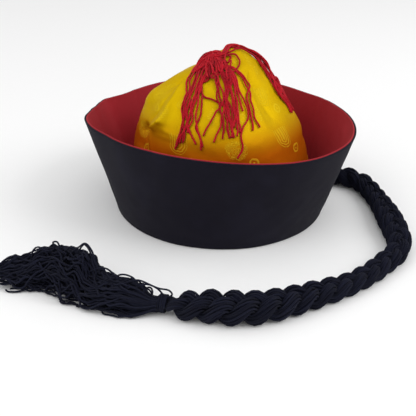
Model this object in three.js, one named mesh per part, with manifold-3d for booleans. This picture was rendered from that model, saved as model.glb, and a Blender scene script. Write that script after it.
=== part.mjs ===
// A mandarin hat: a black cloth brim turned up all round like a bowl, its red lining, a yellow brocade
// crown drawn up to a soft peak, a red yarn tassel on the peak, and a black yarn plait that leaves the
// back of the brim and lies on the table round the front of the hat, ending in a loose tuft.
// Millimetres, +Z up. The origin is the middle of the head opening, on the table. +X is the back of the
// hat, where the plait starts, and the plait lies across the -Y side.
import * as THREE from 'three';
import { LoftGeometry } from 'three/addons/geometries/LoftGeometry.js';
import { mergeVertices } from 'three/addons/utils/BufferGeometryUtils.js';
import Module from 'manifold-3d';

const wasm = await Module();
wasm.setup();

// Walls and gaps
const brimWall = 1.5;
const liningWall = 1.2;
const crownWall = 1.4;
const gap = 0.3;
const liningProud = 1.0;

// Brim, outside of the black cloth
const hem = { halfWidth: 92.2, halfDepth: 94.1 };
const hemRoll = { height: 2.8, spread: 1.8 };
const rim = { halfWidth: 117.3, halfDepth: 109.2, shiftX: -1.5, shiftY: -0.1, height: 80.1 };
const rimRound = 0.7;
const rimEdgeShare = 0.3;
const brimColumns = 56;
const brimShares = [0.35, 0.7];

// Waves of the rim, each so many times round: shares of its radius, and millimetres of its height
const rimRadiusWaves = [
  { times: 2, cosine: -0.0024, sine: -0.0446 },
  { times: 3, cosine: -0.0105, sine: -0.0027 },
];
const rimHeightWaves = [
  { times: 2, cosine: -1.5, sine: 2.1 },
  { times: 3, cosine: 0.2, sine: -1.0 },
  { times: 4, cosine: 0.8, sine: 0.3 },
];

// Upright creases and dents of the brim wall: outward if positive, strongest at the rim
const brimCreases = [
  { angle: 141, halfAngle: 7, depth: -1.6 },
  { angle: 158, halfAngle: 6, depth: 1.4 },
  { angle: 176, halfAngle: 7, depth: -1.2 },
  { angle: 212, halfAngle: 8, depth: -1.3 },
  { angle: 318, halfAngle: 10, depth: -1.0 },
  { angle: 42, halfAngle: 9, depth: -1.2 },
  { angle: 96, halfAngle: 10, depth: 0.9 },
];

// Crown sections from the hem to the peak: how far each reaches from the hat's axis on its four sides
const crownColumns = 52;
const crownSections = [
  { height: 0, left: 88.6, right: 88.6, front: 90.5, back: 90.5 },
  { height: 20, left: 85.5, right: 84.5, front: 87, back: 87 },
  { height: 52, left: 77.5, right: 76, front: 79, back: 79 },
  { height: 70, left: 74, right: 71, front: 73, back: 74 },
  { height: 78, left: 72, right: 68, front: 70, back: 71.5 },
  { height: 85, left: 70, right: 64, front: 66, back: 68 },
  { height: 94, left: 66, right: 56.5, front: 59.5, back: 62 },
  { height: 103, left: 60, right: 48, front: 52, back: 54 },
  { height: 109, left: 51, right: 43, front: 46, back: 48 },
  { height: 116, left: 40.5, right: 37.5, front: 37, back: 40 },
  { height: 123, left: 27.5, right: 32.5, front: 28, back: 31 },
  { height: 130, left: 15.5, right: 27, front: 19, back: 22 },
  { height: 137, left: 4, right: 20, front: 9, back: 11 },
  { height: 139.6, left: -7, right: 15, front: 3.5, back: 4.5 },
];

// Near the peak the folds fade inside this radius, and no fold draws a section in past this share of it
const foldFade = { radius: 20, leastShare: 0.2 };

// A fold keeps its full depth over this share of its length, and fades over the next
const foldEnds = { full: 0.6, fade: 0.4 };

// Steps over the crown, in radians and millimetres, that its outward direction is taken from
const normalStep = { turn: 0.03, rise: 2 };

// Folds of the crown: a ridge if positive, a valley if negative, from its low end to its high end
const crownFolds = [
  { low: 84, lowAngle: 219, high: 127, highAngle: 226, halfAngle: 8, depth: 3.2 },
  { low: 88, lowAngle: 203, high: 120, highAngle: 206, halfAngle: 11, depth: -4.2 },
  { low: 74, lowAngle: 212, high: 86, highAngle: 214, halfAngle: 9, depth: -4.5 },
  { low: 62, lowAngle: 236, high: 80, highAngle: 228, halfAngle: 16, depth: -3.2 },
  { low: 66, lowAngle: 282, high: 92, highAngle: 286, halfAngle: 8, depth: 1.8 },
  { low: 100, lowAngle: 282, high: 116, highAngle: 252, halfAngle: 11, depth: -2.0 },
  { low: 78, lowAngle: 322, high: 124, highAngle: 312, halfAngle: 12, depth: -2.6 },
  { low: 70, lowAngle: 352, high: 118, highAngle: 348, halfAngle: 12, depth: 2.0 },
  { low: 66, lowAngle: 24, high: 126, highAngle: 36, halfAngle: 11, depth: -3.0 },
  { low: 60, lowAngle: 68, high: 122, highAngle: 72, halfAngle: 12, depth: 2.4 },
  { low: 72, lowAngle: 104, high: 128, highAngle: 98, halfAngle: 10, depth: -3.2 },
  { low: 66, lowAngle: 150, high: 118, highAngle: 146, halfAngle: 13, depth: 2.2 },
  { low: 74, lowAngle: 178, high: 112, highAngle: 172, halfAngle: 10, depth: -2.4 },
];

// Tassel: a knot on the peak, and locks that run from it over the crown
const knot = { x: -1, y: -9.5, z: 136.8, radiusX: 9, radiusY: 8, radiusZ: 5.5, sides: 12, bands: 8 };
const tasselLockEnds = { start: 0.8, tip: 0.55 };
const lockSides = 6;
const lockSteps = 7;
const tasselLocks = [
  // Left outer
  {
    halfWidth: 4.4,
    halfThick: 2.0,
    guides: [
      { angle: 202, height: 129.5, lift: 1.5 },
      { angle: 222, height: 121, lift: 1 },
      { angle: 242, height: 108, lift: 1 },
      { angle: 247, height: 96, lift: 1 },
      { angle: 244, height: 79, lift: 1 },
    ],
  },
  // Left inner
  {
    halfWidth: 4.8,
    halfThick: 2.2,
    guides: [
      { angle: 224, height: 129.5, lift: 1.5 },
      { angle: 240, height: 119, lift: 1 },
      { angle: 251, height: 108, lift: 1 },
      { angle: 255, height: 97, lift: 1 },
      { angle: 255, height: 80, lift: 1 },
    ],
  },
  // Centre left
  {
    halfWidth: 4.6,
    halfThick: 2.4,
    guides: [
      { angle: 243, height: 129, lift: 2 },
      { angle: 262, height: 119, lift: 1.2 },
      { angle: 276, height: 107, lift: 1 },
      { angle: 276, height: 95, lift: 1 },
      { angle: 271, height: 84, lift: 1 },
    ],
  },
  // Centre right
  {
    halfWidth: 4.6,
    halfThick: 2.2,
    guides: [
      { angle: 256, height: 129.5, lift: 2 },
      { angle: 274, height: 119, lift: 1.2 },
      { angle: 285, height: 107, lift: 1 },
      { angle: 284, height: 96, lift: 1 },
      { angle: 281, height: 86, lift: 1 },
    ],
  },
  // Right of the centre
  {
    halfWidth: 2.8,
    halfThick: 1.5,
    guides: [
      { angle: 276, height: 130, lift: 1.5 },
      { angle: 296, height: 120.5, lift: 1 },
      { angle: 302, height: 111, lift: 1 },
      { angle: 302, height: 101, lift: 1 },
      { angle: 300, height: 89, lift: 1 },
    ],
  },
  // Over the right side
  {
    halfWidth: 3.4,
    halfThick: 1.8,
    guides: [
      { angle: 296, height: 137, lift: 3.4 },
      { angle: 330, height: 132, lift: 4.6 },
      { angle: 343, height: 123, lift: 4 },
      { angle: 349, height: 108, lift: 1.4 },
      { angle: 350, height: 87, lift: 1 },
    ],
  },
  // Behind the right side
  {
    halfWidth: 3.4,
    halfThick: 1.8,
    guides: [
      { angle: 20, height: 137, lift: 3 },
      { angle: 12, height: 130, lift: 3 },
      { angle: 10, height: 119, lift: 1.5 },
      { angle: 8, height: 107, lift: 1 },
      { angle: 10, height: 96, lift: 1 },
    ],
  },
];

// Plait: three strands that cross over each other along one route on the table. Its sizes are those of a
// girth of 1, and the girth of each row of the route scales them, height over the table included.
const strandRadius = 6.4;
const strandSway = 5.8;
const strandRise = 3.6;
const strandCount = 3;
const braidHeight = 10.2;
const plaitPitch = 47;
const braidSides = 12;
const stepsPerPitch = 10;
const braidEndSlim = 0.62;
const braidStartSlim = 0.86;
const braidSlimLength = 14;
const braidRoute = [
  { x: 102.8, y: 39.1, girth: 0.8 },
  { x: 111.3, y: 36.8, girth: 0.81 },
  { x: 119.9, y: 33.6, girth: 0.82 },
  { x: 127.9, y: 29.5, girth: 0.8 },
  { x: 134.5, y: 22.5, girth: 0.75 },
  { x: 138.8, y: 8.8, girth: 0.73 },
  { x: 141.8, y: -9.7, girth: 0.73 },
  { x: 143.6, y: -30.6, girth: 0.79 },
  { x: 144.3, y: -53.8, girth: 0.88 },
  { x: 144.6, y: -74.6, girth: 0.87 },
  { x: 143.4, y: -94.8, girth: 0.79 },
  { x: 135.3, y: -112.2, girth: 0.71 },
  { x: 123.2, y: -125.8, girth: 0.69 },
  { x: 109.8, y: -140.1, girth: 0.67 },
  { x: 93.7, y: -153.1, girth: 0.69 },
  { x: 75, y: -165, girth: 0.78 },
  { x: 54.3, y: -176.1, girth: 0.87 },
  { x: 33.1, y: -186.2, girth: 0.96 },
  { x: 12, y: -190.3, girth: 1.02 },
  { x: -8.2, y: -188.1, girth: 0.98 },
  { x: -23.5, y: -186.2, girth: 0.87 },
  { x: -37, y: -182.6, girth: 0.74 },
];

// Bound start of the plait against the brim, the tie at its end, and the tuft past the tie
const drumSides = 16;
const anchor = { radius: 7.9, length: 26, round: 2 };
const tie = { radius: 6.8, length: 9, round: 2.2 };
const tuftHead = { radius: 6.6, length: 18, round: 2.2 };
const tuftAxis = [
  { x: -53, y: -181.5 },
  { x: -66, y: -176 },
  { x: -84, y: -167 },
  { x: -101, y: -156 },
  { x: -119, y: -147.5 },
  { x: -140, y: -143.5 },
  { x: -165, y: -144.5 },
];
// Each lock of the tuft: how far it spreads to the side, its height in the middle and at its tip, the
// share of the tuft's length that it has, and its half width and half thickness
const tuftLocks = [
  { side: -18, middle: 5.5, tip: 4.5, share: 0.86, halfWidth: 7, halfThick: 4.8 },
  { side: -9, middle: 6, tip: 5, share: 1, halfWidth: 7.5, halfThick: 5 },
  { side: 0, middle: 6, tip: 5, share: 0.96, halfWidth: 7.5, halfThick: 5 },
  { side: 9, middle: 6, tip: 5, share: 1, halfWidth: 7.5, halfThick: 5 },
  { side: 19, middle: 5.5, tip: 4.5, share: 0.88, halfWidth: 7, halfThick: 4.8 },
  { side: -12, middle: 14, tip: 10, share: 0.82, halfWidth: 7, halfThick: 5 },
  { side: 0, middle: 15.5, tip: 12, share: 0.95, halfWidth: 7.5, halfThick: 5.2 },
  { side: 12, middle: 15, tip: 11, share: 0.88, halfWidth: 7, halfThick: 5 },
  { side: 4, middle: 27, tip: 14, share: 0.72, halfWidth: 5.5, halfThick: 4 },
  { side: 13, middle: 31, tip: 16, share: 0.92, halfWidth: 5, halfThick: 4 },
];
const tuftLockEnds = { start: 0.7, tip: 0.5 };
const tuftOpening = { from: -0.25, to: 0.45 };
const tuftClosing = { from: 0.55, share: 0.4 };
const tuftSides = 6;
const tuftSteps = 6;

// Colours of the cloths and yarns
const finishes = {
  blackCloth: { color: 0x1e1c22, roughness: 0.9, metalness: 0 },
  redLining: { color: 0x9a2430, roughness: 0.85, metalness: 0 },
  yellowSatin: { color: 0xd8b414, roughness: 0.45, metalness: 0 },
  redYarn: { color: 0xb41a2c, roughness: 0.95, metalness: 0 },
  blackYarn: { color: 0x17181f, roughness: 0.95, metalness: 0 },
};

const radians = THREE.MathUtils.degToRad;
const mergeDistance = 1e-3;

// A smooth bump that is 1 at no distance and fades to both sides.
function bump(distance) {
  return Math.exp(-distance * distance);
}

// Turns a geometry into a solid with shared corners.
function solid(geometry) {
  const bare = new THREE.BufferGeometry();
  bare.setAttribute('position', geometry.getAttribute('position'));
  bare.setIndex(geometry.getIndex());
  const merged = mergeVertices(bare, mergeDistance);
  const mesh = new wasm.Mesh({
    numProp: 3,
    vertProperties: merged.getAttribute('position').array,
    triVerts: new Uint32Array(merged.getIndex().array),
  });
  return new wasm.Manifold(mesh);
}

// Turns a solid back into a geometry.
function geometryOf(body) {
  const mesh = body.getMesh();
  const geometry = new THREE.BufferGeometry();
  geometry.setAttribute('position', new THREE.BufferAttribute(new Float32Array(mesh.vertProperties), 3));
  geometry.setIndex(new THREE.BufferAttribute(new Uint32Array(mesh.triVerts), 1));
  geometry.computeVertexNormals();
  return geometry;
}

// The outside of a solid, with the closed hollows between its locks filled.
function outerForm(body) {
  return body.decompose().reduce((largest, shell) => (shell.volume() > largest.volume() ? shell : largest));
}

// Names a mesh and gives it its finish.
function piece(name, geometry, finish) {
  const mesh = new THREE.Mesh(geometry, new THREE.MeshStandardMaterial(finish));
  mesh.name = name;
  return mesh;
}

// The smallest turn, in degrees, from one angle to another.
function turnBetween(from, to) {
  return THREE.MathUtils.euclideanModulo(to - from + 180, 360) - 180;
}

// Adds up waves round the rim at an angle in radians.
function waves(table, angle) {
  return table.reduce(
    (sum, { times, cosine, sine }) => sum + cosine * Math.cos(times * angle) + sine * Math.sin(times * angle),
    0,
  );
}

// A ring of points, one for each column, from a function of the angle in radians.
function ring(columns, pointAt) {
  return Array.from({ length: columns }, (_, column) => pointAt((2 * Math.PI * column) / columns));
}

// Outward step of the brim's creases at an angle, for a share of the wall's height.
function creaseStep(angle, share) {
  const degrees = THREE.MathUtils.radToDeg(angle);
  return brimCreases.reduce(
    (sum, crease) => sum + crease.depth * share * bump(turnBetween(crease.angle, degrees) / crease.halfAngle),
    0,
  );
}

// A point of the brim wall: share 0 is just above the hem and share 1 is the rim, and the inset goes in
// from the outside of the black cloth towards the hat's axis.
function brimPoint(angle, share, inset, rise = 0) {
  const low = new THREE.Vector3(
    (hem.halfWidth + hemRoll.spread) * Math.cos(angle),
    (hem.halfDepth + hemRoll.spread) * Math.sin(angle),
    hemRoll.height,
  );
  const reach = 1 + waves(rimRadiusWaves, angle);
  const high = new THREE.Vector3(
    rim.halfWidth * reach * Math.cos(angle) + rim.shiftX,
    rim.halfDepth * reach * Math.sin(angle) + rim.shiftY,
    rim.height + waves(rimHeightWaves, angle),
  );
  const point = low.lerp(high, share);
  const plan = Math.hypot(point.x, point.y);
  const scale = (plan - inset + creaseStep(angle, share)) / plan;
  return new THREE.Vector3(point.x * scale, point.y * scale, point.z + rise);
}

// A point of the brim's hem edge, on the table.
function hemPoint(angle, inset) {
  const x = hem.halfWidth * Math.cos(angle);
  const y = hem.halfDepth * Math.sin(angle);
  const scale = 1 - inset / Math.hypot(x, y);
  return new THREE.Vector3(x * scale, y * scale, 0);
}

// The bowl of the brim filled solid, to an inset from the outside of the black cloth. Its top edge steps
// in by an edge, or out if that is negative, and a cutting form also passes the table and the rim.
function brimFilled({ inset, edge, proud, past }) {
  const wall = (share, rise = 0) => ring(brimColumns, (angle) => brimPoint(angle, share, inset, rise));
  const top = (rise) => ring(brimColumns, (angle) => brimPoint(angle, 1, inset + edge, rise));
  const foot = ring(brimColumns, (angle) => hemPoint(angle, inset));
  const middle = brimShares.map((share) => wall(share));
  const rings = [foot, wall(0), ...middle, wall(1, proud - rimRound), top(proud)];
  if (past > 0) {
    rings.unshift(foot.map((point) => point.clone().setZ(-past)));
    rings.push(top(proud + past));
  }
  return solid(new LoftGeometry(rings, { capStart: true, capEnd: true }));
}

// A sewn shell of the brim: its filled form less a smaller one.
function brimShell(inset, wall, proud) {
  const edge = wall * rimEdgeShare;
  const outside = brimFilled({ inset, edge, proud, past: 0 });
  const inside = brimFilled({ inset: inset + wall, edge: -edge, proud, past: 1 });
  return geometryOf(outside.subtract(inside));
}

// The crown's section at a height, between the rows of the table.
function crownSection(height) {
  const last = crownSections.length - 1;
  const found = crownSections.findIndex((row) => row.height >= height);
  const above = found < 0 ? last : Math.max(found, 1);
  const low = crownSections[above - 1];
  const high = crownSections[above];
  const share = (height - low.height) / (high.height - low.height);
  const between = (column) => THREE.MathUtils.lerp(low[column], high[column], share);
  return { left: between('left'), right: between('right'), front: between('front'), back: between('back') };
}

// Outward step of the crown's folds at an angle in radians and a height.
function foldStep(angle, height) {
  const degrees = THREE.MathUtils.radToDeg(angle);
  return crownFolds.reduce((sum, fold) => {
    const share = (height - fold.low) / (fold.high - fold.low);
    const line = THREE.MathUtils.lerp(fold.lowAngle, fold.highAngle, THREE.MathUtils.clamp(share, 0, 1));
    const across = bump(turnBetween(line, degrees) / fold.halfAngle);
    const fromMiddle = Math.abs(share - 0.5) * 2;
    const along = bump(Math.max(0, fromMiddle - foldEnds.full) / foldEnds.fade);
    return sum + fold.depth * across * along;
  }, 0);
}

// A point of the crown's outside, moved out in plan by a lift and up by a rise.
function crownPoint(angle, height, lift = 0, rise = 0) {
  const { left, right, front, back } = crownSection(height);
  const x = Math.cos(angle) * ((left + right) / 2);
  const y = Math.sin(angle) * ((front + back) / 2);
  const plan = Math.hypot(x, y);
  const fold = foldStep(angle, height) * Math.min(1, plan / foldFade.radius);
  const scale = Math.max(foldFade.leastShare, (plan + fold + lift) / plan);
  return new THREE.Vector3((right - left) / 2 + x * scale, (back - front) / 2 + y * scale, height + rise);
}

// The crown filled solid, larger all over by a growth, or smaller if it is negative. It can reach below
// the table, which leaves a cut open there.
function crownFilled(growth, below = 0) {
  const rings = crownSections.map((row) => ring(
    crownColumns,
    (angle) => crownPoint(angle, row.height, growth, row.height > 0 ? growth : -below),
  ));
  return solid(new LoftGeometry(rings, { capStart: true, capEnd: true }));
}

// The crown: its filled form less the hollow for the head.
function crownGeometry() {
  return geometryOf(crownFilled(0).subtract(crownFilled(-crownWall, 1)));
}

// The crown's outward direction at an angle and a height.
function crownNormal(angle, height) {
  const here = crownPoint(angle, height);
  const round = crownPoint(angle + normalStep.turn, height).sub(here);
  const top = crownSections[crownSections.length - 1].height;
  const above = crownPoint(angle, Math.min(height + normalStep.rise, top));
  const rise = above.sub(crownPoint(angle, height - normalStep.rise));
  return round.cross(rise).normalize();
}

// A flat lock of yarn: an oval section carried along a curve, with its wide side turned by a second curve
// that runs beside the first.
function lockLoft({ core, beside, halfWidth, halfThick, sides, steps, startSize, tipSize }) {
  const rings = [];
  for (let step = 0; step <= steps; step += 1) {
    const share = step / steps;
    const centre = core.getPoint(share);
    const normal = beside.getPoint(share).sub(centre).normalize();
    const tangent = core.getTangent(share);
    const side = new THREE.Vector3().crossVectors(normal, tangent).normalize();
    const up = new THREE.Vector3().crossVectors(tangent, side);
    const endSize = share < 0.5 ? startSize : tipSize;
    const size = THREE.MathUtils.lerp(endSize, 1, Math.sqrt(Math.sin(Math.PI * share)));
    rings.push(ring(sides, (angle) => centre.clone()
      .addScaledVector(side, halfWidth * size * Math.cos(angle))
      .addScaledVector(up, halfThick * size * Math.sin(angle))));
  }
  return solid(new LoftGeometry(rings, { capStart: true, capEnd: true }));
}

// One lock of the tassel, from the knot along its guides over the crown.
function tasselLock({ halfWidth, halfThick, guides }) {
  const start = new THREE.Vector3(knot.x, knot.y, knot.z);
  const core = [start];
  const beside = [start.clone().add(new THREE.Vector3(0, 0, 1))];
  guides.forEach(({ angle, height, lift }) => {
    const normal = crownNormal(radians(angle), height);
    const point = crownPoint(radians(angle), height).addScaledVector(normal, lift);
    core.push(point);
    beside.push(point.clone().add(normal));
  });
  return lockLoft({
    core: new THREE.CatmullRomCurve3(core, false, 'centripetal'),
    beside: new THREE.CatmullRomCurve3(beside, false, 'centripetal'),
    halfWidth,
    halfThick,
    sides: lockSides,
    steps: lockSteps,
    startSize: tasselLockEnds.start,
    tipSize: tasselLockEnds.tip,
  });
}

// The tassel: knot and locks in one solid, seated on the crown.
function tasselGeometry() {
  const ball = new THREE.SphereGeometry(1, knot.sides, knot.bands);
  ball.scale(knot.radiusX, knot.radiusY, knot.radiusZ);
  ball.translate(knot.x, knot.y, knot.z);
  const joined = tasselLocks.reduce((body, lock) => body.add(tasselLock(lock)), solid(ball));
  return geometryOf(outerForm(joined.subtract(crownFilled(gap))));
}

// The plait's route as a curve, its height over the table in step with its girth.
function braidCurve() {
  const points = braidRoute.map(({ x, y, girth }) => new THREE.Vector3(x, y, braidHeight * girth));
  return new THREE.CatmullRomCurve3(points, false, 'centripetal');
}

// How far the outline of the crossed strands reaches from the plait's middle, in one direction.
function plaitReach(phase, direction) {
  let reach = 0;
  for (let strand = 0; strand < strandCount; strand += 1) {
    const turn = phase + (2 * Math.PI * strand) / strandCount;
    const sway = strandSway * Math.sin(turn);
    const rise = strandRise * Math.sin(2 * turn);
    const along = sway * Math.cos(direction) + rise * Math.sin(direction);
    const across = sway * Math.sin(direction) - rise * Math.cos(direction);
    reach = Math.max(reach, along + Math.sqrt(strandRadius ** 2 - across ** 2));
  }
  return reach;
}

// How much the plait is drawn in near its bound start and its tie.
function braidSlim(fromStart, fromEnd) {
  const atStart = THREE.MathUtils.smoothstep(fromStart, 0, braidSlimLength);
  const atEnd = THREE.MathUtils.smoothstep(fromEnd, 0, braidSlimLength);
  return Math.min(
    THREE.MathUtils.lerp(braidStartSlim, 1, atStart),
    THREE.MathUtils.lerp(braidEndSlim, 1, atEnd),
  );
}

// The plait: one solid with the outline of its three strands at each step along the route.
function braidGeometry() {
  const curve = braidCurve();
  const length = curve.getLength();
  const steps = Math.round((length / plaitPitch) * stepsPerPitch);
  const up = new THREE.Vector3(0, 0, 1);
  const rings = [];
  for (let step = 0; step <= steps; step += 1) {
    const share = step / steps;
    const travelled = share * length;
    const centre = curve.getPointAt(share);
    const side = new THREE.Vector3().crossVectors(up, curve.getTangentAt(share)).normalize();
    const phase = (2 * Math.PI * travelled) / plaitPitch;
    const size = braidSlim(travelled, length - travelled) * (centre.z / braidHeight);
    rings.push(ring(braidSides, (angle) => {
      const reach = plaitReach(phase, angle) * size;
      return centre.clone()
        .addScaledVector(side, reach * Math.cos(angle))
        .addScaledVector(up, reach * Math.sin(angle));
    }));
  }
  return new LoftGeometry(rings, { capStart: true, capEnd: true });
}

// A round drum with softened edges along +X, starting at x = 0.
function drum({ radius, length, round }) {
  const profile = [
    new THREE.Vector2(0, 0),
    new THREE.Vector2(radius - round, 0),
    new THREE.Vector2(radius, round),
    new THREE.Vector2(radius, length - round),
    new THREE.Vector2(radius - round, length),
    new THREE.Vector2(0, length),
  ];
  const geometry = new THREE.LatheGeometry(profile, drumSides);
  geometry.rotateZ(-Math.PI / 2);
  return geometry;
}

// Turns a piece made along +X to the heading of the plait at one of its ends, and moves it there.
function placeOnBraid(geometry, share) {
  const curve = braidCurve();
  const heading = curve.getTangentAt(share);
  const { x, y, z } = curve.getPointAt(share);
  return geometry.rotateZ(Math.atan2(heading.y, heading.x)).translate(x, y, z);
}

// The bound start of the plait, cut to the slant of the brim wall that it is sewn to.
function anchorGeometry() {
  const geometry = drum(anchor);
  geometry.translate(-anchor.length - gap, 0, 0);
  const seat = brimFilled({ inset: -gap, edge: 0, proud: 0, past: 1 });
  return geometryOf(solid(placeOnBraid(geometry, 0)).subtract(seat));
}

// The turns of yarn that close the plait, just past its end.
function tieGeometry() {
  const geometry = drum(tie);
  geometry.translate(gap, 0, 0);
  return geometryOf(solid(placeOnBraid(geometry, 1)));
}

// Height of a tuft lock over the table: from the head, over its middle, down to its tip.
function tuftLockHeight({ middle, tip }, share) {
  const toMiddle = THREE.MathUtils.lerp(braidHeight, middle, THREE.MathUtils.smoothstep(share, 0, 0.5));
  return THREE.MathUtils.lerp(toMiddle, tip, THREE.MathUtils.smoothstep(share, 0.5, 1));
}

// One lock of the tuft, spreading from the head along the tuft's axis.
function tuftLock(axis, lock) {
  const core = [];
  const beside = [];
  const up = new THREE.Vector3(0, 0, 1);
  for (let step = 0; step <= tuftSteps; step += 1) {
    const share = step / tuftSteps;
    const along = share * lock.share;
    const side = new THREE.Vector3().crossVectors(up, axis.getTangentAt(along)).normalize();
    const opened = THREE.MathUtils.smoothstep(share, tuftOpening.from, tuftOpening.to);
    const closing = 1 - tuftClosing.share * THREE.MathUtils.smoothstep(share, tuftClosing.from, 1);
    const spread = lock.side * opened * closing;
    const point = axis.getPointAt(along).addScaledVector(side, spread).setZ(tuftLockHeight(lock, share));
    core.push(point);
    beside.push(point.clone().add(up));
  }
  return lockLoft({
    core: new THREE.CatmullRomCurve3(core, false, 'centripetal'),
    beside: new THREE.CatmullRomCurve3(beside, false, 'centripetal'),
    halfWidth: lock.halfWidth,
    halfThick: lock.halfThick,
    sides: tuftSides,
    steps: tuftSteps,
    startSize: tuftLockEnds.start,
    tipSize: tuftLockEnds.tip,
  });
}

// The tuft: a head just past the tie, and its locks fused to it.
function tuftGeometry() {
  const axis = new THREE.CatmullRomCurve3(
    tuftAxis.map(({ x, y }) => new THREE.Vector3(x, y, 0)),
    false,
    'centripetal',
  );
  const head = drum(tuftHead);
  head.translate(tie.length + 2 * gap, 0, 0);
  const locks = tuftLocks.map((lock) => tuftLock(axis, lock));
  return geometryOf(outerForm(locks.reduce((body, lock) => body.add(lock), solid(placeOnBraid(head, 1)))));
}

const hat = new THREE.Group();
hat.name = 'mandarin_hat';
hat.add(
  piece('brim_outer', brimShell(0, brimWall, 0), finishes.blackCloth),
  piece('brim_lining', brimShell(brimWall + gap, liningWall, liningProud), finishes.redLining),
  piece('crown', crownGeometry(), finishes.yellowSatin),
  piece('tassel', tasselGeometry(), finishes.redYarn),
  piece('braid_anchor', anchorGeometry(), finishes.blackYarn),
  piece('braid', braidGeometry(), finishes.blackYarn),
  piece('braid_tie', tieGeometry(), finishes.blackYarn),
  piece('braid_tuft', tuftGeometry(), finishes.blackYarn),
);

export default hat;
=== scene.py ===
"""The looks of a mandarin hat, built round the fixed frame of its solids, in metres with +Z up.

A black cloth brim turned up like a bowl, its red lining, a yellow brocade crown with a red yarn
tassel, and a black yarn plait that leaves the back of the brim and lies on the floor round the front.
"""
import logging
import math
from dataclasses import dataclass
from enum import Enum

import bpy
import numpy as np
from bpy.types import Material, Node, NodeSocket, Object
from mathutils import Matrix, Vector


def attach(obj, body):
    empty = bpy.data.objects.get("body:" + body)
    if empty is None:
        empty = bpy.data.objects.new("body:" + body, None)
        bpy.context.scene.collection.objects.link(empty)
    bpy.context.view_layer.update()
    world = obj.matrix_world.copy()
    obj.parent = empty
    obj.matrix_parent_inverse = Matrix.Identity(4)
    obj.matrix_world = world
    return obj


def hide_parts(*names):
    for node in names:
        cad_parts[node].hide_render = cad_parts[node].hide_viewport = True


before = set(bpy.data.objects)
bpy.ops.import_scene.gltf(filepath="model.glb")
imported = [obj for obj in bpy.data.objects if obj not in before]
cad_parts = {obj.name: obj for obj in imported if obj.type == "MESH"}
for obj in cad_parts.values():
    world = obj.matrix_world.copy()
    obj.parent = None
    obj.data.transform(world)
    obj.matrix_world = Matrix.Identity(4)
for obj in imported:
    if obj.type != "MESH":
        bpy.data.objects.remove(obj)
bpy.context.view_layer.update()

Array = np.ndarray
Random = np.random.Generator
Color = tuple[float, float, float, float]
Pair = tuple[float, float]
Point = tuple[float, float, float]

LOG = logging.getLogger("mandarin_hat")
MM = 0.001
TURN = 2.0 * math.pi
UP = np.array([0.0, 0.0, 1.0])
# A direction that no yarn starts in
ASIDE = np.array([0.31, 0.17, 1.0])
BODY = "root"
# Lengths that stand for none and for out of reach
TINY = 1e-9
FAR = 1e9


class Slot(Enum):
    """The record's material slots."""

    BLACK_CLOTH = "black_cloth"
    RED_LINING = "red_lining"
    YELLOW_SATIN = "yellow_satin"
    RED_YARN = "red_yarn"
    BLACK_YARN = "black_yarn"


def bump(distance: Array) -> Array:
    """A smooth bump that is 1 at no distance and fades to both sides."""
    return np.exp(-np.square(distance))


def smoothstep(value: Array, low: float, high: float) -> Array:
    """Rises smoothly from 0 at low to 1 at high."""
    share = np.clip((np.asarray(value, float) - low) / (high - low), 0.0, 1.0)
    return share * share * (3.0 - 2.0 * share)


def turn_between(start: Array, end: Array) -> Array:
    """The smallest turn in degrees from one angle to another."""
    return np.mod(end - start + 180.0, 360.0) - 180.0


def unit(vectors: Array) -> Array:
    """Vectors along the last axis at length 1."""
    return vectors / np.maximum(np.linalg.norm(vectors, axis=-1, keepdims=True), TINY * MM)


def travel(points: Array) -> Array:
    """How far each point is along its line, from 0 at the first."""
    return np.concatenate([[0.0], np.cumsum(np.linalg.norm(np.diff(points, axis=0), axis=1))])


def eased(share: Array, ends: tuple[Array, Array], slopes: tuple[Array, Array]) -> Array:
    """A cubic from one end to another that leaves and arrives with given slopes."""
    square, cube = share**2, share**3
    return (
        (2 * cube - 3 * square + 1) * ends[0]
        + (cube - 2 * square + share) * slopes[0]
        + (3 * square - 2 * cube) * ends[1]
        + (cube - square) * slopes[1]
    )


def smooth_curve(points: Array, count: int, fine: int = 24) -> Array:
    """Draws one smooth curve through points and spaces new points along it.

    Args:
        points: Rows of coordinates that the curve passes through, of three columns or more.
        count: How many points the result has, an equal distance apart.
        fine: Steps between two given points before the spacing.

    Returns:
        The points of a centripetal Catmull-Rom curve, one row each.
    """
    rows = np.asarray(points, float)
    rows = np.vstack([2.0 * rows[0] - rows[1], rows, 2.0 * rows[-1] - rows[-2]])
    gaps = np.sqrt(np.linalg.norm(np.diff(rows[:, :3], axis=0), axis=1))
    gaps = np.maximum(gaps, TINY)[:, None]
    steps = np.diff(rows, axis=0) / gaps
    wide = (rows[2:] - rows[:-2]) / (gaps[:-1] + gaps[1:])
    slopes = steps[:-1] - wide + steps[1:]
    share = np.linspace(0.0, 1.0, fine, endpoint=False)[None, :, None]
    leave = (slopes[:-1] * gaps[1:-1])[:, None]
    arrive = (slopes[1:] * gaps[1:-1])[:, None]
    curve = eased(share, (rows[1:-2, None], rows[2:-1, None]), (leave, arrive))
    curve = np.vstack([curve.reshape(-1, rows.shape[1]), rows[-2]])
    travelled = travel(curve[:, :3])
    places = np.linspace(0.0, travelled[-1], count)
    return np.column_stack([np.interp(places, travelled, column) for column in curve.T])


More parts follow.
